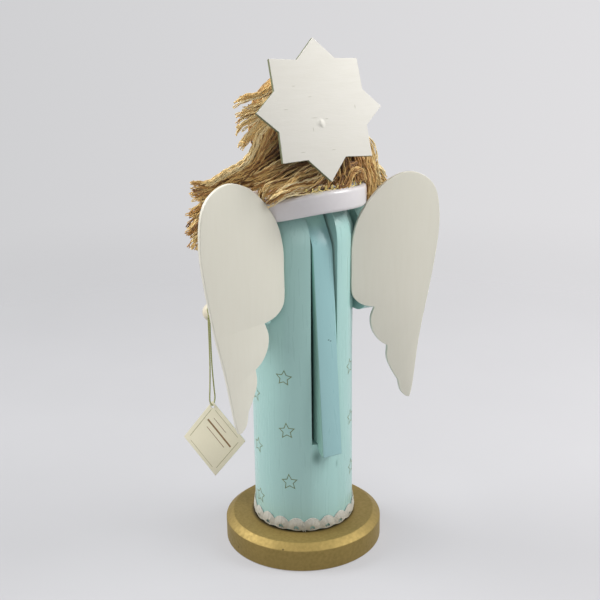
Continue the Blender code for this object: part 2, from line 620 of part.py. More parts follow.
def make_hand(side, name, sleeve):
    """Turned mitten hand on a peg glued into the cuff."""
    middle = WRIST_LENGTH + HAND_LENGTH / 2
    join = math.degrees(math.acos(WRIST_RADIUS / HAND_RADIUS))
    mitten = [(HAND_RADIUS * r, middle + HAND_LENGTH / 2 * h) for r, h in arc((0.0, 0.0), 1.0, 90, -join, 10)]
    mitten[0] = (0.0, mitten[0][1])
    hand = turned("hand_" + name, mitten + [(WRIST_RADIUS, -HAND_PEG), (0.0, -HAND_PEG)], 18)
    x = side * SLEEVE_X
    hand.location = (x, CUFF_FRONT, HAND_Z)
    hand.rotation_euler.x = math.radians(90)
    bore_end = (x, CUFF_FRONT + HAND_PEG + GAP, HAND_Z)
    bore = rod("cuff_bore_" + name, WRIST_RADIUS + GAP, bore_end, (x, 2 * CUFF_FRONT, HAND_Z), 24)
    cut(sleeve, add_cutter(bore))
    return add_part(hand, SKIN_PAINT)


def wing_outline():
    """A big lobe, three scallops down the inner edge and a plain outer edge, as (across, up) points.

    The stretches between two corners are smooth curves through shares of the wing's width and height.
    """
    stretches = (
        ((0.65, 0.0), (0.69, 0.06), (0.77, 0.26), (0.90, 0.50), (0.99, 0.72), (0.99, 0.85), (0.93, 0.935),
         (0.79, 0.985), (0.61, 1.0), (0.40, 0.97), (0.22, 0.905), (0.07, 0.815), (0.005, 0.715), (0.0, 0.61),
         (0.0, 0.52), (0.035, 0.478), (0.13, 0.447), (0.263, 0.432)),
        ((0.263, 0.432), (0.218, 0.385), (0.232, 0.33), (0.307, 0.28), (0.40, 0.252)),
        ((0.40, 0.252), (0.392, 0.195), (0.442, 0.14), (0.518, 0.085)),
        ((0.518, 0.085), (0.545, 0.035), (0.60, 0.008), (0.65, 0.0)))
    points = []
    for stretch in stretches:
        points += smooth_route(stretch, 2)[:-1]
    return [(across * WING_WIDTH, WING_TIP_Z + up * WING_HEIGHT) for across, up in points]


def make_wing(side, name):
    """Plywood wing glued and pegged to the back of its sleeve."""
    outline = [(side * across, up) for across, up in wing_outline()]
    wing = plate("wing_" + name, outline, WING_THICKNESS, PLY_EDGE_ROUND)
    stand = Matrix.Translation((0.0, -WING_THICKNESS / 2, 0.0)) @ Matrix.Rotation(math.radians(90), 4, "X")
    wing.matrix_world = wing_frame(side) @ stand
    return add_part(as_mesh(wing), CREAM_PAINT)


def make_star():
    """Eight-pointed plywood star, its top tipped towards the head."""
    outline = []
    for i in range(2 * STAR_POINTS):
        radius = STAR_NOTCH_RADIUS if i % 2 else STAR_TIP_RADIUS
        turn = math.pi / 2 + i * math.pi / STAR_POINTS
        outline.append((radius * math.cos(turn), radius * math.sin(turn)))
    star = plate("halo_star", outline, STAR_THICKNESS, PLY_EDGE_ROUND)
    star.location = STAR_CENTRE
    star.rotation_euler.x = math.radians(90) + STAR_TILT
    return add_part(as_mesh(star), STAR_PAINT)


def nape_route(clearance=0.0):
    """The middle of the wavy roll on the nape, longer at both ends by the clearance."""
    start = NAPE_START - clearance / NAPE_RING_RADIUS
    route = []
    for i in range(NAPE_PIECES + 1):
        turn = start + (math.pi - 2 * start) * i / NAPE_PIECES
        share = 1.0 - NAPE_WAVE * math.sin(NAPE_WAVES * turn) ** 2
        route.append((NAPE_RING_RADIUS * math.cos(turn), NAPE_RING_RADIUS * math.sin(turn), NAPE_Z, share))
    return route


def make_hair(head_room):
    """Yarn hair: a cap with the face left open, a roll on the nape and a long lock on each side."""
    cap = ellipsoid("hair_cap", HAIR_CAP_CENTRE, HAIR_CAP_AXES, 24, 12)
    ahead = -3 * HEAD_RADIUS
    wide = FACE_OPENING_RADIUS
    face = rod("face_opening", wide, (0, ahead, FACE_OPENING_Z), (0, FACE_OPENING_BACK, FACE_OPENING_Z), 28)
    chin = block("chin_opening", (-wide, ahead, 0.0), (wide, FACE_OPENING_BACK, FACE_OPENING_Z))
    hem_width = 2 * HEAD_RADIUS
    hem = block("hair_hem", (-hem_width, -hem_width, 0.0), (hem_width, hem_width, HAIR_BOTTOM))
    for shape in (face, chin, hem):
        add_cutter(shape)
    for shape in (head_room, face, chin, hem):
        cut(cap, shape)
    add_part(cap, YARN)

    add_part(tube("hair_back", nape_route(), NAPE_RADIUS, 3), YARN)
    cap_room = ellipsoid("hair_cap_room", HAIR_CAP_CENTRE, HAIR_CAP_AXES + Vector((GAP, GAP, GAP)), 24, 12)
    nape_room = tube("nape_room", nape_route(2 * GAP), NAPE_RADIUS + 2 * GAP, 3)
    seat = Vector((0.0, 0.0, COLLAR_BOTTOM))
    axis = Vector((math.sin(COLLAR_TILT), 0.0, math.cos(COLLAR_TILT)))
    rim = seat + axis * (BRAID_TOP + GAP - COLLAR_BOTTOM)
    collar_room = rod("collar_room", COLLAR_OUTER_RADIUS + GAP, seat, rim, 40)
    for room in (cap_room, nape_room, collar_room):
        add_cutter(room)
    for side, name, routes in ((1, "hair_left", LEFT_STRANDS), (-1, "hair_right", RIGHT_STRANDS)):
        strands = []
        for route in routes:
            points = [(side * (HAIR_CAP_AXES.x + out * MM), back * MM, HEAD_CENTRE_Z + up * MM, share)
                      for out, back, up, share in route]
            strands.append(tube(name, smooth_route(points, 3), LOCK_RADIUS, 3))
        lock = strands[0]
        for strand in strands[1:]:
            fuse(lock, add_cutter(strand))
        for room in (cap_room, nape_room, collar_room):
            cut(lock, room)
        add_part(lock, YARN)
    return cap


def make_tag():
    """Card tag hung by a corner from a thread that is looped on the left wrist."""
    half = TAG_HALF_DIAGONAL
    aside = TAG_LENGTH * TAG_WIDTH / (2 * half)
    rise = half - TAG_WIDTH ** 2 / (2 * half)       # of the short side's end above the card's middle
    card = plate("tag_card", [(0.0, half), (aside, -rise), (0.0, -half), (-aside, rise)], TAG_THICKNESS)
    card.location = TAG_CENTRE
    card.rotation_euler = (math.radians(90), 0.0, TAG_TURN)
    card = add_part(as_mesh(card), CARD)
    facing = Vector((-math.sin(TAG_TURN), math.cos(TAG_TURN), 0.0))
    hole = TAG_CENTRE + Vector((0.0, 0.0, half - TAG_HOLE_INSET))
    cut(card, add_cutter(rod("tag_hole", TAG_HOLE_RADIUS, hole - facing * half, hole + facing * half)))

    seat = hole + Vector((0.0, 0.0, TAG_HOLE_RADIUS - STRING_RADIUS - GAP))
    up = Vector((0.0, 0.0, 1.0))
    drop = (STRING_KNOT.z - seat.z) / MM
    strand = [(drop, 0.8), (48, 0.8), (30, 1.1), (14, 2.2), (6, 2.9), (2.2, 2.1)]
    down = [seat + up * high * MM + facing * out * MM for high, out in strand]
    back = [seat + up * high * MM - facing * out * MM for high, out in reversed(strand)]
    route = [(*point, 1.0) for point in (*down, seat, *back)]
    thread = add_part(tube("tag_string", smooth_route(route, 3), STRING_RADIUS, 2), OLIVE_THREAD)

    bpy.ops.mesh.primitive_torus_add(
        major_radius=WRIST_LOOP_RADIUS, minor_radius=STRING_RADIUS, major_segments=24, minor_segments=6,
        location=WRIST_LOOP_CENTRE, rotation=(math.radians(90), 0.0, 0.0))
    loop = bpy.context.object
    loop.name = "wrist_loop"
    return card, thread, add_part(loop, OLIVE_THREAD)


def build():
    make_base()
    body = make_body()
    make_lace()
    make_lever()
    make_jaw()
    head = make_head()
    make_pivot_pin(head)
    head_room = add_cutter(turned("head_room", head_profile(GAP), 36))
    make_nose(head_room)
    make_collar()
    hair_cap = make_hair(head_room)
    star = make_star()

    reach = BASE_DOWEL_DEPTH - GAP
    dowel("base_dowel", BASE_DOWEL_RADIUS, (0, 0, BASE_TOP - reach), (0, 0, BODY_BOTTOM + reach), [])
    peg = STAR_CENTRE - STAR_UP * STAR_PEG_DROP
    peg_head = peg + STAR_NORMAL * (STAR_THICKNESS / 2 + STAR_PEG_HEAD)
    peg_end = peg - STAR_NORMAL * STAR_PEG_LENGTH
    dowel("star_peg", STAR_PEG_RADIUS, peg_head, peg_end, [star, head, hair_cap])

    for side, name in ((1, "left"), (-1, "right")):
        neck = Vector((side * NECK_DOWEL_X, NECK_DOWEL_Y, BODY_TOP))
        depth = Vector((0, 0, NECK_DOWEL_DEPTH))
        dowel("neck_dowel_" + name, NECK_DOWEL_RADIUS, neck - depth, neck + depth, [body, head])

        sleeve = make_sleeve(side, name)
        make_hand(side, name, sleeve)
        shoulder = Vector((side * BODY_RADIUS, 0, BODY_TOP - SHOULDER_DOWEL_BELOW_TOP))
        depth = Vector((side * SHOULDER_DOWEL_DEPTH, 0, 0))
        ends = shoulder - depth, shoulder + depth
        dowel("shoulder_dowel_" + name, SHOULDER_DOWEL_RADIUS, *ends, [body, sleeve])

        wing = make_wing(side, name)
        across = side * (SLEEVE_X - WING_ROOT_X)
        frame = wing_frame(side)
        inside = frame @ Vector((across, WING_DOWEL_IN_WING - WING_THICKNESS, WING_DOWEL_Z))
        outside = frame @ Vector((across, -WING_THICKNESS - WING_DOWEL_IN_SLEEVE, WING_DOWEL_Z))
        dowel("wing_dowel_" + name, WING_DOWEL_RADIUS, inside, outside, [wing, sleeve])
    make_tag()


build()
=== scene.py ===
"""Angel nutcracker, seen from behind: painted wood, plywood wings, yarn hair and a paper swing tag.

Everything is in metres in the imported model's frame: +Z is up and the angel faces -Y, so its left is +X.
"""
import math
import random

import bmesh
import bpy
from mathutils import Matrix, Quaternion, Vector, noise


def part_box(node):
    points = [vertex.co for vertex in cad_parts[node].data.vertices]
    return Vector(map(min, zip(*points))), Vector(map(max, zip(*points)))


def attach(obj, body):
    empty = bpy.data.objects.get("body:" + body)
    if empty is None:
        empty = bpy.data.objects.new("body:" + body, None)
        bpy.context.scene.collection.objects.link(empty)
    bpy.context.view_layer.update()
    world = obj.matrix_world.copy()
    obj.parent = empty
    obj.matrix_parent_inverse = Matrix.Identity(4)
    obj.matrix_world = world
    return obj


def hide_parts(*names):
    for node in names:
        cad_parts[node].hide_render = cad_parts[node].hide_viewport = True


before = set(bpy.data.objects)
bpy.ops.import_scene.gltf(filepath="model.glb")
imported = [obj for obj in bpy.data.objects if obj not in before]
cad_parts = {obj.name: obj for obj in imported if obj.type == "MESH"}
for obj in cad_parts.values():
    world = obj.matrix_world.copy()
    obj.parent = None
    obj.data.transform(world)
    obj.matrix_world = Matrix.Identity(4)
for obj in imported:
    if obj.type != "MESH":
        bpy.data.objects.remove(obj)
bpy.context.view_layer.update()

mm = 0.001

# Table and air around the figure: a pale matt sheet, lit a little from below too, that fades into the same
# pale grey. Like in a photo tent a soft lamp stands on each side, one overhead and a weak one by the camera.


def plug(tree, made, inputs):
    """Sets inputs of a node to values, or links them to the outputs of other nodes."""
    for key, value in inputs.items():
        if isinstance(value, bpy.types.NodeSocket):
            tree.links.new(value, made.inputs[key])
        else:
            made.inputs[key].default_value = value


def node(tree, kind, inputs, **settings):
    """A shader node with its settings and inputs."""
    made = tree.nodes.new(kind)
    for key, value in settings.items():
        setattr(made, key, value)
    plug(tree, made, inputs)
    return made


def calc(tree, operation, *numbers):
    """The result of a mathematical operation."""
    return node(tree, "ShaderNodeMath", dict(enumerate(numbers)), operation=operation).outputs[0]


def vector_calc(tree, operation, *vectors):
    """The vector or the number that an operation on vectors gives."""
    made = node(tree, "ShaderNodeVectorMath", dict(enumerate(vectors)), operation=operation)
    return made.outputs["Value" if operation in ("LENGTH", "DOT_PRODUCT") else "Vector"]


def ramp(tree, value, low, high, start=0.0, end=1.0, kind="LINEAR"):
    """A number carried over from the span low to high to the span start to end, and held at its ends."""
    spans = {"Value": value, "From Min": low, "From Max": high, "To Min": start, "To Max": end}
    return node(tree, "ShaderNodeMapRange", spans, interpolation_type=kind).outputs["Result"]


def mixed(tree, share, first, second):
    """The colour between two others."""
    return node(tree, "ShaderNodeMix", {0: share, 6: first, 7: second}, data_type="RGBA").outputs[2]


def tone(red, green, blue):
    """A colour as a screen shows it, 0 to 255, for a shader."""
    shares = (red / 255, green / 255, blue / 255)
    return (*(c / 12.92 if c < 0.04045 else ((c + 0.055) / 1.055) ** 2.4 for c in shares), 1.0)


def own_place(tree, **mapping):
    """The object's own coordinates, through a mapping such as a scale if one is given."""
    place = node(tree, "ShaderNodeTexCoord", {}).outputs["Object"]
    if mapping:
        place = node(tree, "ShaderNodeMapping", {"Vector": place, **mapping}).outputs["Vector"]
    return place


def grain(tree, scale, detail=2.0, rough=0.5, place=None):
    """The strength of a noise, in the object's own coordinates if no others are given."""
    where = own_place(tree) if place is None else place
    wanted = {"Vector": where, "Scale": scale, "Detail": detail, "Roughness": rough}
    return node(tree, "ShaderNodeTexNoise", wanted).outputs["Fac"]


def fresh(name):
    """A new material and its node tree."""
    made = bpy.data.materials.new(name)
    made.use_nodes = True
    return made, made.node_tree


def dress(tree, inputs):
    """Sets or links inputs of a material's shader."""
    plug(tree, tree.nodes["Principled BSDF"], inputs)


tent_bright_side = Vector((-0.887, 0.462, 0.0))
tent_greys = (tone(208, 208, 210), tone(224, 223, 225))
world = bpy.data.worlds.new("tent")
bpy.context.scene.world = world
world.use_nodes = True
air = world.node_tree
air.nodes.clear()
ray = node(air, "ShaderNodeLightPath", {}).outputs
mirrored = calc(air, "MAXIMUM", ray["Is Glossy Ray"], ray["Is Transmission Ray"])
shown = calc(air, "MAXIMUM", ray["Is Camera Ray"], mirrored)
glow = node(air, "ShaderNodeBackground", {"Color": (0.97, 0.98, 1.0, 1.0), "Strength": 0.16})
gaze = node(air, "ShaderNodeTexCoord", {}).outputs["Generated"]
aside = ramp(air, vector_calc(air, "DOT_PRODUCT", gaze, tent_bright_side), -0.28, 0.28)
backdrop = node(air, "ShaderNodeBackground", {"Color": mixed(air, aside, *tent_greys)})
choice = node(air, "ShaderNodeMixShader", {0: shown, 1: glow.outputs[0], 2: backdrop.outputs[0]})
node(air, "ShaderNodeOutputWorld", {"Surface": choice.outputs[0]})

lamp_target = Vector((0.0, 0.0, 0.18))
for name, place, size, power in (("lamp_overhead", (0.16, 0.32, 1.12), 0.9, 2.2),
                                 ("lamp_left", (0.69, -0.48, 0.88), 0.6, 12.5),
                                 ("lamp_right", (-0.73, 0.45, 0.87), 0.6, 10.4),
                                 ("lamp_camera", (0.47, 0.90, 0.40), 0.6, 1.5)):
    lamp = bpy.data.objects.new(name, bpy.data.lights.new(name, "AREA"))
    lamp.data.shape = "SQUARE"
    lamp.data.size = size
    lamp.data.energy = power
    lamp.location = place
    lamp.rotation_euler = (lamp_target - Vector(place)).to_track_quat("-Z", "Y").to_euler()
    bpy.context.scene.collection.objects.link(lamp)

view_turn = math.radians(152.5)         # round from the angel's front, towards its left
view_rise = math.radians(17.58)
view_roll = math.radians(-0.87)
view_distance = 0.7218
view_target = Vector((0.0, 0.0, 0.17796))
camera = bpy.data.objects.new("camera", bpy.data.cameras.new("camera"))
camera.data.sensor_width = 36.0
camera.data.lens = 63.11
camera.data.clip_start = 0.01
towards = Vector((math.cos(view_rise) * math.sin(view_turn), -math.cos(view_rise) * math.cos(view_turn),
                  math.sin(view_rise)))
camera.location = view_target + towards * view_distance
camera.rotation_mode = "QUATERNION"
camera.rotation_quaternion = (-towards).to_track_quat("-Z", "Y") @ Quaternion((0.0, 0.0, 1.0), view_roll)
bpy.context.scene.collection.objects.link(camera)
bpy.context.scene.camera = camera
bpy.context.scene.view_settings.view_transform = "Standard"


def piece(name, bm, material, smooth=40.0):
    """A finished mesh object from a bmesh, smooth except at corners sharper than an angle in degrees."""
    mesh = bpy.data.meshes.new(name)
    bm.to_mesh(mesh)
    bm.free()
    mesh.shade_smooth()
    mesh.set_sharp_from_angle(angle=math.radians(smooth))
    mesh.materials.append(material)
    obj = bpy.data.objects.new(name, mesh)
    bpy.context.scene.collection.objects.link(obj)
    return obj


sheet_radius = 1.6
sheet_drop = 0.2 * mm
sheet, tree = fresh("pale_sheet")
aside = vector_calc(tree, "DOT_PRODUCT", own_place(tree), tent_bright_side)
reach = vector_calc(tree, "LENGTH", own_place(tree))
lit = mixed(tree, ramp(tree, aside, -0.3, 0.3), tone(166, 166, 168), tone(186, 185, 187))
open_sky = ramp(tree, reach, 0.052, 0.125, 0.90, 1.0, "SMOOTHSTEP")     # painted shadow: the sheet glows less round the base
dress(tree, {"Base Color": mixed(tree, grain(tree, 9.0), tone(122, 122, 124), tone(128, 128, 130)),
             "Roughness": 0.9, "Specular IOR Level": 0.1, "Emission Strength": 1.0,
             "Emission Color": mixed(tree, open_sky, (0.0, 0.0, 0.0, 1.0), lit),
             "Alpha": ramp(tree, reach, 0.35, 1.1, 1.0, 0.0, "SMOOTHSTEP")})
bm = bmesh.new()
bmesh.ops.create_circle(bm, cap_ends=True, segments=96, radius=sheet_radius)
bmesh.ops.translate(bm, verts=bm.verts, vec=(0.0, 0.0, -sheet_drop))
piece("table", bm, sheet)

# Base: a turned wooden disc with a chamfered top edge under brushed gold paint, which is thin on the
# edges and chipped in a few places. A dowel in its middle holds the body.


def paint_group():
    """Brushed paint: clouds and brush streaks in the colour and the gloss, and the streaks' relief."""
    group = bpy.data.node_groups.new("brushed_paint", "ShaderNodeTree")
    for name, kind in (("Vector", "Vector"), ("Colour", "Color"), ("Deep Colour", "Color"),
                       ("Streak", "Float"), ("Gloss", "Float")):
        group.interface.new_socket(name, in_out="INPUT", socket_type="NodeSocket" + kind)
    for name, kind in (("Colour", "Color"), ("Roughness", "Float"), ("Height", "Float")):
        group.interface.new_socket(name, in_out="OUTPUT", socket_type="NodeSocket" + kind)
    given = node(group, "NodeGroupInput", {}).outputs
    cloud, streak, peel = (grain(group, scale, detail, place=given["Vector"])
                           for scale, detail in ((28.0, 4.0), (420.0, 3.0), (1500.0, 1.0)))
    spread = ramp(group, calc(group, "ADD", cloud, streak), 0.65, 1.35)
    share = calc(group, "MULTIPLY", spread, given["Streak"])
    dull = ramp(group, streak, 0.3, 0.7, -0.06, 0.06)
    node(group, "NodeGroupOutput", {"Colour": mixed(group, share, given["Colour"], given["Deep Colour"]),
                                    "Roughness": calc(group, "ADD", given["Gloss"], dull),
                                    "Height": calc(group, "ADD", streak, peel)})
    return group


brushed_paint = paint_group()


def dented(tree, height, strength, depth):
    """The normal of a relief, its depth in mm."""
    wanted = {"Height": height, "Strength": strength, "Distance": depth * mm}
    return node(tree, "ShaderNodeBump", wanted).outputs["Normal"]


def painted(name, colour, deep, gloss, streak=0.5, brush=(1.0, 1.0, 1.0), relief=0.05, metal=0.0):
    """A material of brushed paint, its strokes drawn out along the axes with a small brush share."""
    material, tree = fresh(name)
    wanted = {"Vector": own_place(tree, Scale=brush), "Colour": colour, "Deep Colour": deep, "Streak": streak,
              "Gloss": gloss}
    coat = node(tree, "ShaderNodeGroup", wanted, node_tree=brushed_paint).outputs
    dress(tree, {"Base Color": coat["Colour"], "Roughness": coat["Roughness"], "Metallic": metal,
                 "Normal": dented(tree, coat["Height"], relief, 1.0)})
    return material


def overlaid(tree, share, colour):
    """Lays a share of another colour over a material's own."""
    under = tree.nodes["Principled BSDF"].inputs["Base Color"].links[0].from_socket
    dress(tree, {"Base Color": mixed(tree, share, under, colour)})


def worn(material, colour, scale, start, full):
    """Lays patches of another colour, such as bare wood or grime, over a material's own."""
    tree = material.node_tree
    overlaid(tree, ramp(tree, grain(tree, scale, 5.0, 0.6), start, full), colour)


def spotted(material, centre, size, soft, colour):
    """Brushes an oval spot of another colour on a material; centre and size in mm, a share of it soft."""
    tree = material.node_tree
    away = vector_calc(tree, "SUBTRACT", own_place(tree), Vector(centre) * mm)
    reach = vector_calc(tree, "LENGTH", vector_calc(tree, "DIVIDE", away, Vector(size) * mm))
    overlaid(tree, ramp(tree, reach, 1.0 - soft, 1.0, 1.0, 0.0, "SMOOTHSTEP"), colour)


def turned(profile, steps, ring=False):
    """A bmesh turned about Z from points in mm: radius, height, corner round. A ring is closed."""
    bm = bmesh.new()
    points = [bm.verts.new((radius * mm, 0.0, height * mm)) for radius, height, corner in profile]
    for one, other in zip(points, points[1:] + points[:ring]):
        bm.edges.new((one, other))
    for vert, (radius, height, corner) in list(zip(points, profile)):
        if corner:
            bmesh.ops.bevel(bm, geom=[vert], offset=corner * mm, offset_type="OFFSET", affect="VERTICES",
                            segments=5, profile=0.5, material=-1)
    bmesh.ops.spin(bm, geom=bm.verts[:] + bm.edges[:], cent=(0.0, 0.0, 0.0), axis=(0.0, 0.0, 1.0),
                   angle=2.0 * math.pi, steps=steps, use_merge=True)
    bmesh.ops.remove_doubles(bm, verts=bm.verts, dist=0.001 * mm)
    bmesh.ops.recalc_face_normals(bm, faces=bm.faces)
    return bm


def room(name):
    """The lowest and the highest corner of a node of the frame, in mm."""
    return [Vector(corner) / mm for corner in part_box(name)]


def fitted(obj, body, slot, *nodes):
    """Hangs a piece on the body that it rides on and hides the nodes that it stands for. Its material slot is
    not used.
    """
    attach(obj, body)
    if nodes:
        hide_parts(*nodes)


base_radius, _, base_top = room("base")[1]
base_chamfer = 5.2                      # across the top; the drop is down the side
chamfer_drop = 3.9
dowel_hole = 6.3
dowel_depth = 12.0
base_profile = ((0.0, base_top - dowel_depth, 0.0), (dowel_hole, base_top - dowel_depth, 0.0),
                (dowel_hole, base_top, 0.3), (base_radius - base_chamfer, base_top, 0.5),
                (base_radius, base_top - chamfer_drop, 0.5), (base_radius, 0.0, 1.2), (0.0, 0.0, 0.0))
gold_paint = painted("gold_paint", tone(152, 130, 74), tone(132, 114, 62), 0.56, 0.8, relief=0.03, metal=0.65)
worn(gold_paint, tone(74, 54, 30), 210.0, 0.70, 0.74)
spotted(gold_paint, (37.0, 40.6, 15.7), (1.3, 1.3, 0.8), 0.6, tone(74, 60, 34))         # a chip
spotted(gold_paint, (0.0, 0.0, base_top), (38.6, 38.6, 1.5), 0.09, tone(58, 48, 26))    # painted shadow where the lace meets the base
base = piece("turned_base", turned(base_profile, 128), gold_paint, 30.0)
fitted(base, "figure", "gold_paint", "base")

# Dowels and pin: plain beech dowels glued into the joints, and a steel pin through the neck. They are
# inside the figure, so the frame's own solids stay, with wood and steel.


def fibrous(name, scale, detail, colours, relief, inputs, rough=0.5, patches=None, **mapping):
    """A material of fine fibres, which vary its colour and stand out by a strength and a depth in mm."""
    material, tree = fresh(name)
    fibre = grain(tree, scale, detail, rough, own_place(tree, **mapping))
    ground, thread = colours
    if patches:
        patch_scale, patch_colour = patches
        ground = mixed(tree, grain(tree, patch_scale, 3.0), ground, patch_colour)
    dress(tree, {"Base Color": mixed(tree, fibre, ground, thread), "Normal": dented(tree, fibre, *relief),
                 **inputs})
    return material


def glinting(name, scale, colours, gloss, metal, **mapping):
    """A metal whose scratches vary its colour, and its roughness from one value to another."""
    material, tree = fresh(name)
    scratch = grain(tree, scale, place=own_place(tree, **mapping))
    dress(tree, {"Base Color": mixed(tree, scratch, *colours), "Metallic": metal,
                 "Roughness": ramp(tree, scratch, 0.0, 1.0, *gloss)})
    return material


def refinish(name, material):
    """Gives a solid of the frame, which stays, a better finish."""
    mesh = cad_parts[name].data
    mesh.materials.clear()
    mesh.materials.append(material)


beech = fibrous("beech_dowel", 700.0, 5.0, (tone(216, 180, 132), tone(176, 132, 84)), (0.2, 0.3),
                {"Roughness": 0.65}, Scale=(1.0, 1.0, 0.12))
steel = glinting("steel_pin", 2500.0, (tone(196, 196, 200), tone(168, 168, 172)), (0.25, 0.45), 1.0,
                 Scale=(0.05, 1.0, 1.0))
for joint in ("neck_dowel", "shoulder_dowel", "wing_dowel"):
    for side in ("left", "right"):
        refinish(f"{joint}_{side}", beech)
refinish("base_dowel", beech)
refinish("pivot_pin", steel)

# Robe: the turned body with a rounded shoulder, in satin turquoise paint. A slot for the lever runs up
# its back and across its top, and bores take the dowels of the base, the neck and the sleeves.


def arc(centre, radius, start, end, pieces):
    """Points of a circular arc, angles in degrees."""
    turns = (math.radians(start + (end - start) * i / pieces) for i in range(pieces + 1))
    return [(centre[0] + radius * math.cos(turn), centre[1] + radius * math.sin(turn)) for turn in turns]


def slab(outline, thickness, stand):
    """A board of an outline in mm, its thickness to both sides of the outline's plane, set up by a matrix."""
    bm = bmesh.new()
    corners = [bm.verts.new((across * mm, up * mm, -thickness / 2 * mm)) for across, up in outline]
    grown = bmesh.ops.extrude_face_region(bm, geom=[bm.faces.new(corners)])
    raised = [item for item in grown["geom"] if isinstance(item, bmesh.types.BMVert)]
    bmesh.ops.translate(bm, verts=raised, vec=(0.0, 0.0, thickness * mm))
    bmesh.ops.recalc_face_normals(bm, faces=bm.faces)
    bmesh.ops.transform(bm, matrix=stand, verts=bm.verts)
    return bm


def bar(start, end, radius, sides=32):
    """A round bar between two points in mm."""
    start, end = Vector(start) * mm, Vector(end) * mm
    along = end - start
    stand = Matrix.Translation((start + end) / 2) @ along.to_track_quat("Z", "Y").to_matrix().to_4x4()
    bm = bmesh.new()
    bmesh.ops.create_cone(bm, cap_ends=True, segments=sides, radius1=radius * mm, radius2=radius * mm,
                          depth=along.length, matrix=stand)
    return bm


def carved(bm, *tools, mode="DIFFERENCE"):
    """The first shape with the others cut out of it, or joined to it with the mode UNION."""
    parts = []
    for shape in (bm, *tools):
        mesh = bpy.data.meshes.new("shape")
        shape.to_mesh(mesh)
        shape.free()
        parts.append(bpy.data.objects.new("shape", mesh))
        bpy.context.scene.collection.objects.link(parts[-1])
    for tool in parts[1:]:
        cut = parts[0].modifiers.new("cut", "BOOLEAN")
        cut.object = tool
        cut.operation = mode
    bpy.context.view_layer.update()
    mesh = bpy.data.meshes.new_from_object(parts[0].evaluated_get(bpy.context.evaluated_depsgraph_get()))
    result = bmesh.new()
    result.from_mesh(mesh)
    for part in parts:
        bpy.data.objects.remove(part)
    bpy.data.meshes.remove(mesh)
    bmesh.ops.remove_doubles(result, verts=result.verts, dist=0.001 * mm)
    return result


def eased(bm, width, angle=50.0, segments=3):
    """Rounds every edge that is sharper than an angle."""
    sharp = [edge for edge in bm.edges if edge.calc_face_angle(0.0) > math.radians(angle)]
    bmesh.ops.bevel(bm, geom=sharp, offset=width * mm, offset_type="OFFSET", affect="EDGES",
                    segments=segments, profile=0.5, material=-1, clamp_overlap=True)
    return bm


side_on = Matrix.Rotation(math.radians(90), 4, "Z") @ Matrix.Rotation(math.radians(90), 4, "X")

robe_low, robe_high = room("body")
robe_radius = robe_high.x
robe_top = robe_high.z
shoulder_in = 16.0                      # the shoulder's round, across and down
shoulder_drop = 23.0
robe_flare = 1.2                        # it widens by this to the shoulder, from above its stars
flare_start = 148.0
robe_aside = Matrix.Translation((-0.6 * mm, 0.3 * mm, 0.0))     # it was glued on a little off the middle
bore_play = 0.8
bore_end = 0.3                          # a bore is longer than its dowel by this at each end
slot_width = 19.6
slot_aside = Matrix.Translation((0.8 * mm, 0.0, 0.0))           # it is sawn a little wide on its left
slot_floor = 85.0
slot_outline = ((70.0, slot_floor), (21.8, slot_floor), (10.5, 222.0), (-11.0, robe_top - 1.0),
                (-11.0, robe_top + 1.0), (70.0, robe_top + 1.0))
shoulder_start = robe_radius + robe_flare - shoulder_in
shoulder_foot = robe_top - shoulder_drop
base_hole = dowel_hole + bore_play
base_hole_end = robe_low.z + dowel_depth
robe_profile = ((0.0, robe_top, 0.0), (shoulder_start, robe_top, 0.0),
                *((shoulder_start + shoulder_in * across, shoulder_foot + shoulder_drop * up, 0.0)
                  for across, up in arc((0.0, 0.0), 1.0, 82, 0, 12)),
                (robe_radius, flare_start, 0.0), (robe_radius, robe_low.z, 0.5), (base_hole, robe_low.z, 0.0),
                (base_hole, base_hole_end, 0.0), (0.0, base_hole_end, 0.0))


def dowel_bore(name, axis, play, under=bore_end):
    """A bore for a dowel of the frame along an axis, wider than it by a play and longer under it."""
    low, high = room(name)
    start = (low + high) / 2
    end = start.copy()
    start[axis], end[axis] = low[axis] - under, high[axis] + bore_end
    return bar(start, end, (high.y - low.y) / 2 + play, 24)


dowel_bores = [dowel_bore(f"{joint}_{side}", axis, bore_play) for side in ("left", "right")
               for joint, axis in (("neck_dowel", 2), ("shoulder_dowel", 0))]
upright_brush = (1.0, 1.0, 0.06)
robe_paint = painted("robe_paint", tone(169, 208, 202), tone(158, 198, 192), 0.30, 0.25, upright_brush, 0.012)
spotted(robe_paint, (-8.8, 34.0, 67.0), (1.3, 1.3, 4.2), 0.9, tone(132, 172, 166))      # a run of paint
spotted(robe_paint, (6.6, 34.0, 75.5), (5.5, 4.0, 8.0), 1.0, tone(104, 141, 133))       # painted shadow below the lever's handle
lever_slot = slab(slot_outline, slot_width, slot_aside @ side_on)
robe_shape = carved(turned(robe_profile, 160), lever_slot, *dowel_bores)
robe = piece("robe_body", eased(robe_shape, 0.6), robe_paint, 45.0)
robe.data.transform(robe_aside)
fitted(robe, "figure", "robe_paint", "body")

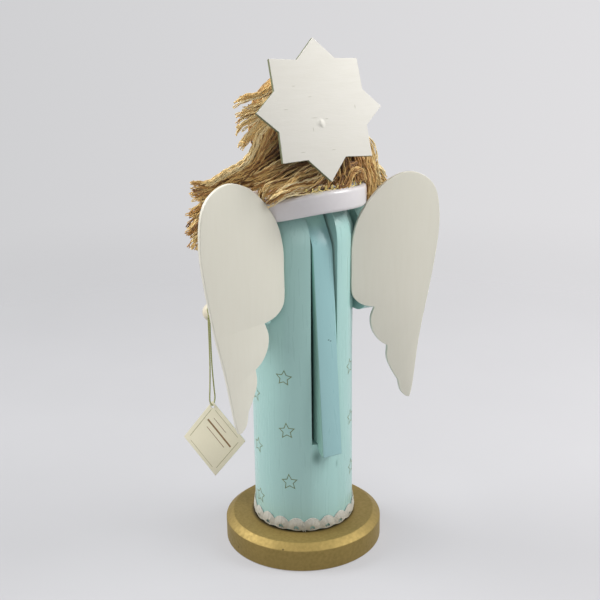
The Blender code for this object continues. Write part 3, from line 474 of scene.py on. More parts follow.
# Gold stars on the robe: small five-pointed outlines painted with a fine brush in staggered columns
# round its lower half. The column where the lever hangs is left out.
star_reach = 6.2
star_notch = 3.05
star_inner = 0.79                       # the outline's inside as a share of its outside
star_coat = 0.06
column_turn = 45                        # degrees between columns
column_lean = 2.2                       # degrees that each row lies further round than the one above
star_rows = (134.0, 95.3, 56.6)
stagger = 18.1                          # every other column lies lower by this
lever_column = 2
star_line = painted("robe_star_line", tone(92, 112, 88), tone(136, 150, 100), 0.4, 0.9, relief=0.02,
                    metal=0.15)
bm = bmesh.new()
dice = random.Random(5)
for column in range(360 // column_turn):
    if column == lever_column:
        continue
    for step, row in enumerate(star_rows):
        middle = math.radians(column * column_turn + (step - 1.5) * column_lean)
        height = row - (stagger if column % 2 == 0 else 0.0) + dice.uniform(-0.5, 0.5)
        lean = dice.uniform(-0.12, 0.12)
        tips = []
        for i in range(10):
            turn = math.pi / 2 + i * math.pi / 5 + lean
            reach = star_notch if i % 2 else star_reach * dice.uniform(0.94, 1.05)
            tips.append(Vector((reach * math.cos(turn), reach * math.sin(turn))))
        rims = ([], [])
        for tip, after in zip(tips, tips[1:] + tips[:1]):
            for share in (0.0, 1 / 3, 2 / 3):
                for rim, scale in zip(rims, (1.0, star_inner)):
                    across, up = tip.lerp(after, share) * scale
                    turn = middle - across / robe_radius
                    spot = (robe_radius * math.cos(turn), robe_radius * math.sin(turn), height + up)
                    rim.append(bm.verts.new(Vector(spot) * mm))
        outer, inner = rims
        for i in range(len(outer)):
            bm.faces.new((outer[i - 1], outer[i], inner[i], inner[i - 1]))
bm.normal_update()
inward = [face for face in bm.faces if face.normal.xy.dot(face.calc_center_median().xy) < 0.0]
bmesh.ops.reverse_faces(bm, faces=inward)
bmesh.ops.solidify(bm, geom=bm.faces[:], thickness=-star_coat * mm)
robe_stars = piece("robe_stars", bm, star_line, 60.0)
robe_stars.data.transform(robe_aside)
fitted(robe_stars, "figure", "gold_paint")

# Lace: a strip of cream cotton lace glued round the hem, its scalloped edge up: ribbed fans with a half-moon
# hole at the foot of each. A thicker thread edges them, and the two ends meet at the back, a little frayed.
lace_low, lace_high = room("lace_hem")
lace_height = lace_high.z - lace_low.z
scallops = 20
scallop_depth = 3.8
scallop_lift = 1.0                      # the lower edge rises this far between the fans
lace_columns = 28                       # in each scallop
lace_rows = 18
lace_inside = robe_radius + 0.25
lace_band = 0.12                        # the plain band along its foot, a share of the height
hole_size = (0.15, 0.30)                # half axes, shares of a scallop's width and height
hole_middle = 0.10                      # a share of the height
hole_core = 0.45                        # the share of a hole that its solid middle takes
fan_ribs = 16
rib_height = 0.10
fan_puff = 0.8
thread_thick = 0.55
lace_seam = math.radians(62.5)          # where its ends meet

cotton = fibrous("lace_cotton", 1400.0, 3.0, (tone(208, 207, 198), tone(190, 188, 178)), (0.6, 0.4),
                 {"Roughness": 0.95, "Specular IOR Level": 0.2}, patches=(90.0, tone(196, 193, 182)))


def fan_share(turn):
    """How far a turn round the robe is across its scallop, from 0 to 1."""
    return ((turn - lace_seam) / (2 * math.pi) * scallops) % 1.0


def scallop_top(turn):
    """Height of the lace's upper edge, in mm, at a turn round the robe."""
    return lace_height - scallop_depth * (1.0 - math.sin(math.pi * fan_share(turn)) ** 0.8)


def scallop_foot(turn):
    """Height of its lower edge."""
    return 0.3 + scallop_lift * (1.0 - math.sin(math.pi * fan_share(turn)))


def lace_point(turn, up, out):
    """A point on the lace; up from the robe's foot and out from the lace's inside in mm."""
    radius = (lace_inside + out) * mm
    return Vector((radius * math.cos(turn), radius * math.sin(turn), (lace_low.z + up) * mm))


bm = bmesh.new()
bmesh.ops.create_grid(bm, x_segments=scallops * lace_columns, y_segments=lace_rows, size=1.0)
holes = []
for face in bm.faces:
    middle = face.calc_center_median()
    share = ((middle.x + 1.0) / 2.0 * scallops) % 1.0
    up = (middle.y + 1.0) / 2.0
    from_foot = math.hypot((share - 0.5) / hole_size[0], (up - hole_middle) / hole_size[1])
    if hole_core < from_foot < 1.0 and up > lace_band:
        holes.append(face)
bmesh.ops.delete(bm, geom=holes, context="FACES")
rims = [vert for vert in bm.verts if vert.is_boundary and abs(vert.co.y) < 0.98 and abs(vert.co.x) < 0.9999]
for i in range(3):
    bmesh.ops.smooth_vert(bm, verts=rims, factor=0.5, use_axis_x=True, use_axis_y=True)
for vert in bm.verts:
    turn = (vert.co.x + 1.0) * math.pi + lace_seam
    up = (vert.co.y + 1.0) / 2.0
    share = (vert.co.x + 1.0) / 2.0 * scallops % 1.0
    rib = rib_height * math.cos(fan_ribs * math.atan2(up + 0.1, (share - 0.5) * 1.4))
    puff = (fan_puff + rib) * math.sin(math.pi * up) * math.sin(math.pi * share)
    foot = scallop_foot(turn)
    vert.co = lace_point(turn, foot + up * (scallop_top(turn) - foot), puff)
bmesh.ops.remove_doubles(bm, verts=bm.verts, dist=0.002 * mm)
bmesh.ops.recalc_face_normals(bm, faces=bm.faces)
bmesh.ops.solidify(bm, geom=bm.faces[:], thickness=-thread_thick * mm)
lace = piece("lace_strip", bm, cotton, 80.0)
lace.data.transform(robe_aside)
fitted(lace, "figure", "lace_cotton", "lace_hem")


def thread_tube(name, strands, radius, material, sides=1, cyclic=False):
    """A curve object with one round thread for each list of points."""
    curve = bpy.data.curves.new(name, "CURVE")
    curve.dimensions = "3D"
    curve.bevel_depth = radius * mm
    curve.bevel_resolution = sides
    curve.use_fill_caps = True
    for points in strands:
        spline = curve.splines.new("POLY")
        spline.points.add(len(points) - 1)
        for knot, point in zip(spline.points, points):
            knot.co = (*point, 1.0)
        spline.use_cyclic_u = cyclic
        spline.use_smooth = True
    curve.materials.append(material)
    obj = bpy.data.objects.new(name, curve)
    bpy.context.scene.collection.objects.link(obj)
    return obj


edge_points = scallops * 16
edge_out = thread_thick / 2 + 0.1
edging, footing = [], []
for i in range(edge_points):
    turn = lace_seam + i / edge_points * 2 * math.pi
    edging.append(lace_point(turn, scallop_top(turn) - 0.15, edge_out))
    footing.append(lace_point(turn, scallop_foot(turn) + 0.2, edge_out))
fray_height = 5.5
fray_out = 0.9
frayed = []
dice = random.Random(11)
for i in range(9):
    turn = lace_seam + dice.uniform(-0.035, 0.035)
    low = dice.uniform(-0.8, 1.6)
    bend = dice.uniform(-0.03, 0.03)
    frayed.append([lace_point(turn + bend * k / 4, low + fray_height * k / 4, fray_out + 0.25 * math.sin(k))
                   for k in range(5)])
lace_edging = thread_tube("lace_edging", [edging, footing], 0.34, cotton, 1, True)
lace_fray = thread_tube("lace_fray", frayed, 0.22, cotton, 0)
for thread in (lace_edging, lace_fray):
    thread.data.transform(robe_aside)
    fitted(thread, "figure", "lace_cotton")

# Lever: a board sawn to a bent outline, painted a slightly bluer turquoise than the robe. Its handle lies
# in the robe's slot, its arm goes up through the neck, and it turns on the steel pin there.
bend = Vector((31.5, 223.0))
handle_tip = Vector((43.5, 78.0))
arm_shoulder = Vector((17.5, 244.5))
arm_neck = Vector((9.0, 258.0))
mouth_height = 288.0
tip_round = 8.0
lever_width = 16.0
handle_slack = 0.7                      # the lever is planed this much thinner on its left side
bend_round = 5.0


def rounded_corner(before, corner, after, reach, pieces=6):
    """Points of a soft corner that starts and ends a reach away from the sharp one."""
    start = corner + (before - corner).normalized() * reach
    end = corner + (after - corner).normalized() * reach
    shares = (i / pieces for i in range(pieces + 1))
    return [tuple(start * (1 - t) ** 2 + corner * 2 * t * (1 - t) + end * t ** 2) for t in shares]


lever_outline = [*rounded_corner(handle_tip, bend, arm_shoulder, bend_round),
                 *rounded_corner(bend, arm_shoulder, arm_neck, 3.0, 3), tuple(arm_neck), (6.0, mouth_height),
                 (-10.0, mouth_height), (-10.0, 248.0), (11.5, 223.0), (22.8, 86.0),
                 *arc((handle_tip.x, handle_tip.y + tip_round), tip_round, 180, 270, 8)]
skin = tone(236, 206, 180)
lever_paint = painted("lever_paint", tone(156, 198, 199), tone(145, 187, 190), 0.32, 0.3, upright_brush,
                      0.015)
worn(lever_paint, tone(138, 166, 160), 95.0, 0.72, 0.82)
for place in ((-1.8, 36.7, 159.9), (-3.3, 36.8, 159.0)):
    spotted(lever_paint, place, (0.9, 1.2, 0.6), 0.7, tone(84, 112, 112))                   # two chips
spotted(lever_paint, (0.0, -24.0, 262.0), (40.0, 19.0, 48.0), 0.04, skin)                   # its throat
spotted(lever_paint, (0.0, 20.0, 242.0), (16.0, 13.0, 14.0), 0.7, tone(176, 221, 212))      # painted light on the arm's top, under the collar's shadow
pin_low, pin_high = room("pivot_pin")
pin_middle = (pin_low + pin_high) / 2
pin_hole = 2.8


def pin_bore(start, end):
    """A bore for the pin, from one side to the other."""
    return bar((start, pin_middle.y, pin_middle.z), (end, pin_middle.y, pin_middle.z), pin_hole)


lever_aside = Matrix.Translation(((-0.4 - handle_slack / 2) * mm, 0.0, 0.0))
lever_board = slab(lever_outline, lever_width - handle_slack, lever_aside @ side_on)
lever = piece("back_lever", carved(eased(lever_board, 1.1, 60.0), pin_bore(-20.0, 20.0)), lever_paint, 35.0)
lever_sides = painted("lever_sides", tone(138, 182, 170), tone(126, 170, 158), 0.4, 0.3, upright_brush, 0.015)
spotted(lever_sides, (0.0, 17.0, 160.0), (60.0, 15.5, 200.0), 0.12, tone(48, 74, 70))
lever.data.materials.append(lever_sides)    # its sides are painted greener, with painted shade where they run in the slot
for side_face in lever.data.polygons:
    side_face.material_index = int(abs(side_face.normal.x) > 0.7)
fitted(lever, "lever", "lever_paint", "lever")

# Head and jaw: a turned egg on a neck, slotted for the jaw, in satin skin paint with a plain doll's face
# brushed on: eyes, brows, rosy cheeks and lips. The jaw is a chin block glued to the lever's arm.
head_centre = 296.0
head_radius = 28.0
head_half_height = 33.0
neck_radius = 22.0
neck_foot = robe_top + 0.3
mouth_width = 18.0
head_play = 0.3                         # round the dowels and beyond the pin's ends
jaw_height = 16.0
jaw_front = -25.0
jaw_back = -10.3
chin_round = 12.0
skin_paint, face_paint = (painted(name, skin, tone(228, 196, 170), 0.38, 0.5, relief=0.02)
                          for name in ("skin_paint", "face_paint"))
lips = tone(196, 92, 88)
eye = Vector((9.6, -25.5, 301.9))
face_spots = (((15.5, -21.5, 291.0), (8.5, 8.5, 7.0), 1.0, tone(226, 150, 132)),        # cheek
              (eye + Vector((0.0, 0.0, 0.1)), (3.1, 6.0, 2.0), 0.12, tone(248, 246, 240)),
              (eye, (1.7, 6.0, 1.75), 0.12, tone(92, 120, 140)),                        # iris and pupil
              (eye, (0.9, 6.0, 0.95), 0.12, tone(32, 28, 28)),
              ((9.9, -25.5, 304.0), (3.6, 6.0, 0.5), 0.2, tone(96, 66, 46)),            # lid and brow
              ((10.0, -25.0, 308.2), (4.2, 6.0, 0.6), 0.3, tone(150, 108, 70)))
for side in (-1, 1):
    for (across, out, up), size, soft, colour in face_spots:
        spotted(face_paint, (side * across, out, up), size, soft, colour)
spotted(face_paint, (0.0, -26.5, 289.6), (6.0, 6.0, 1.3), 0.2, lips)
spotted(skin_paint, (0.0, -25.0, 287.2), (5.0, 5.0, 1.6), 0.2, lips)

neck_join = math.degrees(math.acos(neck_radius / head_radius))
egg = [(head_radius * across, head_centre + head_half_height * up, 0.0)
       for across, up in arc((0.0, 0.0), 1.0, 90, -neck_join, 32)]
egg[0] = (0.0, egg[0][1], 0.0)
slot_foot = neck_foot - 1.0
slot_roof = mouth_height + 1.5
mouth_slot = ((-60.0, slot_foot), (-60.0, slot_roof), (14.0, slot_roof), (14.0, 259.0), (28.0, 250.0),
              (28.0, slot_foot))
head_bores = [dowel_bore(f"neck_dowel_{side}", 2, head_play, 0.0) for side in ("left", "right")]
head_shape = carved(turned((*egg, (neck_radius, neck_foot, 0.0), (0.0, neck_foot, 0.0)), 96),
                    slab(mouth_slot, mouth_width, side_on),
                    pin_bore(pin_low.x - head_play, pin_high.x + head_play), *head_bores)
head = piece("doll_head", eased(head_shape, 0.35, 60.0, 2), face_paint, 50.0)
fitted(head, "figure", "skin_paint", "head")

chin = mouth_height - jaw_height
jaw_outline = [(jaw_back, mouth_height), (jaw_front, mouth_height),
               *arc((jaw_front + chin_round, chin + chin_round), chin_round, 180, 270, 14), (jaw_back, chin)]
jaw = piece("chin_jaw", eased(slab(jaw_outline, lever_width, side_on), 0.8, 60.0), skin_paint, 35.0)
fitted(jaw, "lever", "skin_paint", "jaw")

# Nose: a small wooden bead, narrower at its top, glued on the face and painted with it.
nose_low, nose_high = (Vector(corner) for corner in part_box("nose"))
nose_size = nose_high - nose_low
bm = bmesh.new()
bmesh.ops.create_uvsphere(bm, u_segments=28, v_segments=18, radius=0.5)
bmesh.ops.scale(bm, vec=(nose_size.x, nose_size.x, nose_size.z), verts=bm.verts)
for vert in bm.verts:
    vert.co.x *= 1.0 - 0.5 * max(0.0, vert.co.z) / nose_size.z
nose_middle = Vector((0.0, nose_low.y + nose_size.x / 2, (nose_low.z + nose_high.z) / 2))
bmesh.ops.translate(bm, verts=bm.verts, vec=nose_middle)
nose = piece("nose_bead", bm, skin_paint, 80.0)
fitted(nose, "figure", "skin_paint", "nose")

# Collar: a moulded yoke in white gloss, a ring with rounded edges and a hollow underside that lies on the
# shoulders. It sags at the front and the sides and hangs lower at the angel's left.
collar_outer = 44.6
collar_inner = 31.0
collar_height = 14.6
collar_sag = 7.0
collar_back = math.radians(77.0)        # the turn at which it does not sag
collar_aside = -1.8
collar_stand = (Matrix.Translation(Vector((collar_aside, 0.0, robe_top + 0.4)) * mm)
                @ Matrix.Rotation(math.radians(6.0), 4, "Y"))


def on_collar(turn, out, up):
    """A point of the sagging ring at a turn round it; out from its axis and up from its underside in mm."""
    from_back = abs((turn - collar_back + math.pi) % (2 * math.pi) - math.pi)
    share = min(1.0, from_back / (math.pi / 2))
    sag = collar_sag * share * share * (3.0 - 2.0 * share)
    return collar_stand @ (Vector((out * math.cos(turn), out * math.sin(turn), up - sag)) * mm)


white_gloss = painted("white_gloss", tone(221, 217, 218), tone(212, 207, 208), 0.16, 0.4, relief=0.010)
spotted(white_gloss, (9.4, 42.8, 261.9), (7.0, 5.0, 2.6), 1.0, tone(214, 208, 156))     # a yellowed patch
collar_profile = ((collar_outer, collar_height, 3.0), (collar_outer - 1.0, 0.0, 2.6), (37.0, 0.0, 0.8),
                  (collar_inner, 8.0, 0.8), (collar_inner, collar_height, 2.0))
bm = turned(collar_profile, 128, True)
for vert in bm.verts:
    vert.co = on_collar(math.atan2(vert.co.y, vert.co.x), vert.co.xy.length / mm, vert.co.z / mm)
collar = piece("white_collar", bm, white_gloss, 40.0)
fitted(collar, "figure", "white_gloss", "collar")

# Gold braid: metallic thread crocheted in small uneven loops, which stand up along the collar's top edge
# and are stuck to it.
braid_ring = collar_outer - 3.6
braid_loops = 60
braid_loop_points = 12
braid_loop_radius = 1.45
gold_thread = glinting("gold_thread", 900.0, (tone(252, 238, 162), tone(216, 190, 100)), (0.2, 0.5), 0.7)
dice = random.Random(3)
strand = []
for i in range(braid_loops):
    size = braid_loop_radius * dice.uniform(0.6, 1.3)
    lean = dice.uniform(-0.3, 0.5)
    for k in range(braid_loop_points):
        curl = 2 * math.pi * k / braid_loop_points - math.pi / 2
        along = 2 * math.pi * (i + k / braid_loop_points) / braid_loops
        turn = along + size * 0.9 * math.cos(curl) / braid_ring
        rise = size * (1.0 + math.sin(curl))
        strand.append(on_collar(turn, braid_ring + lean * rise, collar_height + 0.2 + rise))
braid = thread_tube("gold_braid_loops", [strand], 0.3, gold_thread, 0, True)
fitted(braid, "figure", "gold_thread", "gold_braid")

# Sleeves: bell sleeves sawn from thick board with well rounded edges, doweled and glued to the robe's
# sides and painted with it. The back of each is planed flat for its wing.
sleeve_top = robe_top - 5.0
sleeve_bottom = sleeve_top - 72.0
sleeve_thickness = 18.0
hand_height = sleeve_bottom - 3.0
cuff_front = -35.0
wing_thickness = 2.8
wing_sweep = math.radians(10.5)
wing_root = Vector((25.19, 28.62, 0.0)) # a wing's back face at its inner edge, in plan
wing_aside = 0.8
wing_stand = {side: Matrix.Translation(Vector((side * wing_root.x + wing_aside, wing_root.y, 0.0)) * mm)
              @ Matrix.Rotation(side * wing_sweep, 4, "Z") for side in (1, -1)}
sides = ((1, "left"), (-1, "right"))
sleeve_round = 20.0
sleeve_back = 33.4
sleeve_outline = [*arc((4.0, sleeve_top - sleeve_round), sleeve_round, 180, 60, 14),
                  (sleeve_back, sleeve_top - sleeve_round),
                  *arc((sleeve_back - sleeve_round, sleeve_bottom + sleeve_round), sleeve_round, 0, -90, 12),
                  (-8.0, sleeve_bottom - 0.3), (cuff_front, hand_height - 8.0),
                  (cuff_front, hand_height + 8.0), (-16.0, hand_height + 16.0)]
for side, name in sides:
    low, high = room(f"sleeve_{name}")
    sleeve_aside = Matrix.Translation(((low.x + high.x) / 2 * mm, 0.0, 0.0))
    bm = slab(sleeve_outline, sleeve_thickness, sleeve_aside @ side_on)
    back = wing_stand[side] @ Vector((0.0, -(wing_thickness + 0.3) * mm, 0.0))
    behind = wing_stand[side].to_3x3() @ Vector((0.0, 1.0, 0.0))
    planed = bmesh.ops.bisect_plane(bm, geom=bm.verts[:] + bm.edges[:] + bm.faces[:], plane_co=back,
                                    plane_no=behind, clear_outer=True)
    cut_edges = [item for item in planed["geom_cut"] if isinstance(item, bmesh.types.BMEdge)]
    bmesh.ops.holes_fill(bm, edges=cut_edges)
    bmesh.ops.recalc_face_normals(bm, faces=bm.faces)
    sleeve = piece(f"bell_sleeve_{name}", eased(bm, 3.4, 55.0, 5), robe_paint, 35.0)
    fitted(sleeve, "figure", "robe_paint", f"sleeve_{name}")

# Hands: turned wooden mittens with a thumb glued on, in skin paint. Their wrists are glued into the cuffs,
# and they droop a little.
wrist_radius = 6.0
wrist_length = 9.0
hand_radius = 6.9
hand_droop = math.radians(17.0)
hand_length = 15.0
wrist_join = math.degrees(math.acos(wrist_radius / hand_radius))
palm = wrist_length + hand_length / 2
thumb_radius = 2.5
hand_paint = painted("hand_paint", tone(222, 213, 191), tone(212, 200, 175), 0.38, 0.5, relief=0.02)
for side, name in sides:
    low, high = room(f"hand_{name}")
    mitten = [(hand_radius * across, palm + hand_length / 2 * up, 0.0)
              for across, up in arc((0.0, 0.0), 1.0, 90, -wrist_join, 16)]
    mitten[0] = (0.0, mitten[0][1], 0.0)
    bm = turned((*mitten, (wrist_radius, 0.2, 0.6), (0.0, 0.2, 0.0)), 40)
    thumb = bmesh.new()
    bmesh.ops.create_uvsphere(thumb, u_segments=20, v_segments=12, radius=thumb_radius * mm)
    bmesh.ops.scale(thumb, vec=(0.9, 0.9, 2.1), verts=thumb.verts)
    bmesh.ops.translate(thumb, verts=thumb.verts, vec=Vector((-side * 5.8, 0.0, palm - 1.0)) * mm)
    bm = carved(bm, thumb, mode="UNION")
    stand = Matrix.Translation(Vector(((low.x + high.x) / 2, cuff_front, hand_height)) * mm)
    forward = Matrix.Rotation(math.radians(90) + hand_droop, 4, "X")
    bmesh.ops.transform(bm, matrix=stand @ forward, verts=bm.verts)
    hand = piece(f"mitten_{name}", bm, hand_paint, 60.0)
    fitted(hand, "figure", "skin_paint", f"hand_{name}")

# Wings: sawn from thin plywood, a big lobe with three scallops down the inner edge, the edges sanded
# round, in brushed cream paint that is thinner on the edges. Each is glued and pegged to its sleeve.


def smooth_route(points, pieces):
    """Points of a smooth curve through the given ones, each with any number of coordinates."""
    ends = [points[0], *points, points[-1]]
    route = []
    for a, b, c, d in zip(ends, ends[1:], ends[2:], ends[3:]):
        for t in (i / pieces for i in range(pieces)):
            route.append([0.5 * (2 * q + (r - p) * t + (2 * p - 5 * q + 4 * r - s) * t * t
                                 + (3 * q - p - 3 * r + s) * t ** 3) for p, q, r, s in zip(a, b, c, d)])
    route.append(list(points[-1]))
    return route


wing_width = 63.0
wing_height = 163.7
wing_tip = sleeve_top + 27.5 - wing_height
# Shares of the width and the height: outer edge, lobe and inner edge, then three scallops
wing_curves = (
    ((0.65, 0.0), (0.69, 0.06), (0.77, 0.26), (0.90, 0.50), (0.99, 0.72), (0.99, 0.85), (0.93, 0.935),
     (0.79, 0.985), (0.61, 1.0), (0.40, 0.97), (0.22, 0.905), (0.07, 0.815), (0.005, 0.715), (0.0, 0.61),
     (0.0, 0.52), (0.035, 0.478), (0.13, 0.447), (0.263, 0.432)),
    ((0.263, 0.432), (0.218, 0.385), (0.232, 0.33), (0.307, 0.28), (0.40, 0.252)),
    ((0.40, 0.252), (0.392, 0.195), (0.442, 0.14), (0.518, 0.085)),
    ((0.518, 0.085), (0.545, 0.035), (0.60, 0.008), (0.65, 0.0)))
wing_stretch = {1: 1.012, -1: 0.98}     # the wings are sawn by hand, so one is a little taller
wing_lean = {1: -0.03, -1: 0.035}       # shares of the width by which the tips lean to one side
lean_start = 0.4                        # the share of the height under which they lean
upright = Matrix.Translation((0.0, -wing_thickness / 2 * mm, 0.0)) @ Matrix.Rotation(math.radians(90), 4, "X")
cream_paint = painted("cream_paint", tone(225, 222, 208), tone(217, 213, 196), 0.42, 0.4, (1.0, 1.0, 0.10),
                      0.02)
spotted(cream_paint, (78.7, 42.0, 169.4), (1.6, 1.6, 2.6), 0.5, tone(150, 140, 116))    # a chip on an edge
for side, name in sides:
    outline = []
    for stretch in wing_curves:
        outline += [(side * (across + wing_lean[side] * max(0.0, 1.0 - up / lean_start)) * wing_width,
                     wing_tip + up * wing_height * wing_stretch[side])
                    for across, up in smooth_route(stretch, 6)[:-1]]
    bm = slab(outline, wing_thickness, wing_stand[side] @ upright)
    wing = piece(f"ply_wing_{name}", eased(bm, 0.7, 60.0), cream_paint, 35.0)
    fitted(wing, "figure", "cream_paint", f"wing_{name}")

# Halo star: an eight-pointed plywood star behind the head, tipped forward, in off-white paint with brush
# scratches. The painted-over end of its peg shows as a lump below the middle.
halo_centre = Vector((3.7, 37.7, 312.0)) * mm
halo_thickness = 2.6
halo_back = 1.75                        # from the centre to the back face
halo_tip = 17.3                         # degrees that it is tipped forward
halo_outline = ((-1.4, 44.1), (-14.9, 30.7), (-30.5, 29.9), (-31.2, 10.3), (-43.0, -1.3), (-30.6, -12.4),
                (-31.1, -31.9), (-12.2, -30.6), (0.2, -45.0), (14.3, -30.4), (31.6, -30.9), (31.0, -11.9),
                (44.1, 0.5), (30.2, 12.9), (30.4, 32.6), (11.8, 31.0))
halo_stand = Matrix.Translation(halo_centre) @ Matrix.Rotation(math.radians(90 + halo_tip), 4, "X")
halo_paint = painted("halo_paint", tone(224, 221, 212), tone(217, 213, 202), 0.65, 0.45, (0.15, 1.0, 1.0),
                     0.06)
for across, up, wide, high in ((5.7, -5.1, 3.4, 0.3), (-2.7, -6.3, 1.6, 0.4), (7.6, -12.1, 0.4, 2.2),
                               (-23.9, -0.3, 0.5, 2.0), (24.2, 1.3, 2.4, 0.3), (16.7, 15.1, 1.7, 0.35),
                               (6.7, 7.9, 2.2, 0.3), (-4.4, -25.6, 2.0, 0.3), (17.0, -25.4, 2.6, 0.3)):
    scratch = halo_stand @ (Vector((across, up, -halo_back)) * mm) / mm
    spotted(halo_paint, scratch, (wide, 1.5, high), 0.9, tone(190, 187, 172))
inset = Matrix.Translation((0.0, 0.0, (halo_thickness / 2 - halo_back) * mm))
halo_plate = slab(halo_outline, halo_thickness, halo_stand @ inset)
halo_rim = painted("halo_rim", tone(108, 112, 80), tone(90, 94, 64), 0.7, 0.6, relief=0.02)
halo_star = piece("halo_star_plate", eased(halo_plate, 0.3, 40.0), halo_paint, 35.0)
halo_star.data.materials.append(halo_rim)   # bare plywood shows on the sawn edge, painted darker with shade
for rim_face in halo_star.data.polygons:
    rim_face.material_index = int(abs(rim_face.normal.dot(halo_stand.to_3x3().col[2])) < 0.5)
fitted(halo_star, "figure", "star_paint", "halo_star")

peg_drop = 8.0
peg_radius = 2.6
lump_aside = (1.7, 0.8)
peg_reach = 24.0                        # from the plate's middle into the head
shank = ((peg_radius, halo_back - 0.2, 0.0), (peg_radius, -peg_reach, 0.5), (0.0, -peg_reach, 0.0))
lump_shape = ((0.0, 0.8), (0.8, 0.76), (1.5, 0.5), (2.1, 0.22), (2.7, 0.06), (3.2, 0.0), (3.4, -0.2))
lump = [(out, halo_back + rise, 0.0) for out, rise in lump_shape]
bm = turned((*lump, *shank), 40)
for vert in bm.verts:
    if vert.co.z > halo_back * mm:
        vert.co.xy += Vector(lump_aside) * mm
        vert.co.xy *= 1.0 + 0.25 * noise.noise(Vector((vert.co.x, vert.co.y, 0.0)) / mm * 0.5)
turned_over = Matrix.Rotation(math.radians(180), 4, "X")    # the plate's back faces its stand's -Z
peg_place = Matrix.Translation((0.0, -peg_drop * mm, 0.0))
bmesh.ops.transform(bm, matrix=halo_stand @ peg_place @ turned_over, verts=bm.verts)
star_peg = piece("halo_peg", bm, halo_paint, 40.0)
fitted(star_peg, "figure", "star_paint", "star_peg")

# Hair lining: a thin cap of brown felt glued on the head, open at the face, with a skirt down to the
# collar. The yarn is stuck on it, so no wood shows between the strands. Its dark brown is painted shade
# for the gaps between and under the yarns.
cap_middle = Vector((0.0, 1.0, 298.0))
cap_axes = Vector((31.8, 33.2, 34.8))       # to the middle of the yarns that lie on it
cap_hem = 283.5
lining_out = 1.6                            # the felt's outside lies this far under the yarns' middle
lining_thick = 1.6
face_radius = 24.5
face_middle = 292.0
skirt_top = cap_hem + 3.0
skirt_foot = 263.0

# painted shade: the felt is dark brown so the gaps between and under the yarns look shadowed
felt = fibrous("hair_lining", 900.0, 4.0, (tone(84, 56, 26), tone(56, 36, 16)), (0.6, 0.5),
               {"Roughness": 1.0})


def egg_solid(axes):
    """A closed egg round the cap's middle, with half axes in mm."""
    bm = bmesh.new()
    bmesh.ops.create_uvsphere(bm, u_segments=64, v_segments=40, radius=mm)
    bmesh.ops.scale(bm, vec=axes, verts=bm.verts)
    bmesh.ops.translate(bm, verts=bm.verts, vec=cap_middle * mm)
    return bm


outside = cap_axes - Vector((1.0, 1.0, 1.0)) * lining_out
inside = outside - Vector((1.0, 1.0, 1.0)) * lining_thick
below_hem = slab(((-50.0, 200.0), (50.0, 200.0), (50.0, cap_hem), (-50.0, cap_hem)), 100.0, side_on)
skirt = turned(((31.0, skirt_top, 0.0), (28.2, skirt_foot, 0.0), (27.0, skirt_foot, 0.0),
                (29.8, skirt_top, 0.0)), 64, True)
facing_front = Matrix.Translation((0.0, -42.5 * mm, 0.0)) @ Matrix.Rotation(math.radians(90), 4, "X")
chin_outline = ((-60.0, 200.0), (60.0, 200.0), (60.0, skirt_top + 0.2), (-60.0, skirt_top + 0.2))
for name, shape in (("hair_lining", carved(egg_solid(outside), egg_solid(inside), below_hem)),
                    ("nape_lining", skirt)):
    face_room = bar((0.0, -80.0, face_middle), (0.0, -5.0, face_middle), face_radius, 64)
    lining = piece(name, carved(shape, face_room, slab(chin_outline, 75.0, facing_front)), felt, 60.0)
    fitted(lining, "figure", "yarn")

# Hair: wavy two-ply wool yarn in several straw browns, glued along a parting on the crown. It lies over
# the cap, is combed across the nape, and hangs over each shoulder in long locks with cut, untwisted ends.
ply_radius = 0.40
ply_ring = 0.42                             # from a yarn's middle to the middle of its plies
ply_pitch = 10.0
yarn_step = 1.9                             # between the points along a yarn
wave_length = 24.0
fray_length = 7.0                           # the plies come apart this far from a cut end
fray_spread = 0.9


def wool(name, colour, deep):
    """Woolly yarn in one shade, with darker and lighter fibres along it and painted shadow on the roots
    behind the star.
    """
    material, tree = fresh(name)
    fibre = grain(tree, 2200.0, 3.0)
    share = ramp(tree, calc(tree, "ADD", grain(tree, 160.0), fibre), 0.7, 1.3)
    dress(tree, {"Base Color": mixed(tree, share, colour, deep), "Normal": dented(tree, fibre, 0.6, 0.3),
                 "Roughness": 0.75, "Sheen Weight": 0.25, "Sheen Roughness": 0.4})
    dull = (*(0.3 * share for share in deep[:3]), 1.0)
    # painted shadow where the star shades the roots
    spotted(material, (6.0, 27.0, 284.0), (36.0, 20.0, 26.0), 0.55, dull)
    return material


wools = (wool("wool_straw", tone(240, 206, 140), tone(214, 174, 104)),
         wool("wool_light", tone(248, 224, 166), tone(230, 196, 130)),
         wool("wool_brown", tone(198, 152, 90), tone(162, 116, 62)),
         wool("wool_pale", tone(252, 238, 196), tone(238, 212, 154)),
         wool("wool_dark", tone(140, 98, 52), tone(104, 70, 34)))
# How often a lock of each kind takes each of these shades, in percent: sunlit locks take paler wools and
# shaded locks darker ones, as painted light and shade
wool_shares = {"sunlit": (28, 36, 2, 34, 0), "mixed": (42, 18, 24, 4, 12), "shaded": (8, 0, 44, 0, 48)}


def evenly(points, step):
    """Points a step apart along a smooth curve through the given ones, in mm."""
    fine = [Vector(point) for point in smooth_route(points, 16)]
    laid = [fine[0]]
    for point in fine[1:]:
        if (point - laid[-1]).length >= step:
            laid.append(point)
    return laid


def spun(middle, dice):
    """The two plies of a yarn along its middle line: a list of points for each."""
    phase = dice.uniform(0.0, 2 * math.pi)
    plies = ([], [])
    for k, point in enumerate(middle):
        along = (middle[min(k + 1, len(middle) - 1)] - middle[max(k - 1, 0)]).normalized()
        across = along.cross(Vector((0.13, 0.21, 0.97))).normalized()
        over = across.cross(along)
        to_end = (len(middle) - 1 - k) * yarn_step
        ring = ply_ring * (1.0 + fray_spread * max(0.0, 1.0 - to_end / fray_length) ** 2)
        for i, ply in enumerate(plies):
            turn = phase + k * yarn_step * 2 * math.pi / ply_pitch + i * math.pi
            ply.append((point + (across * math.cos(turn) + over * math.sin(turn)) * ring) * mm)
    return plies


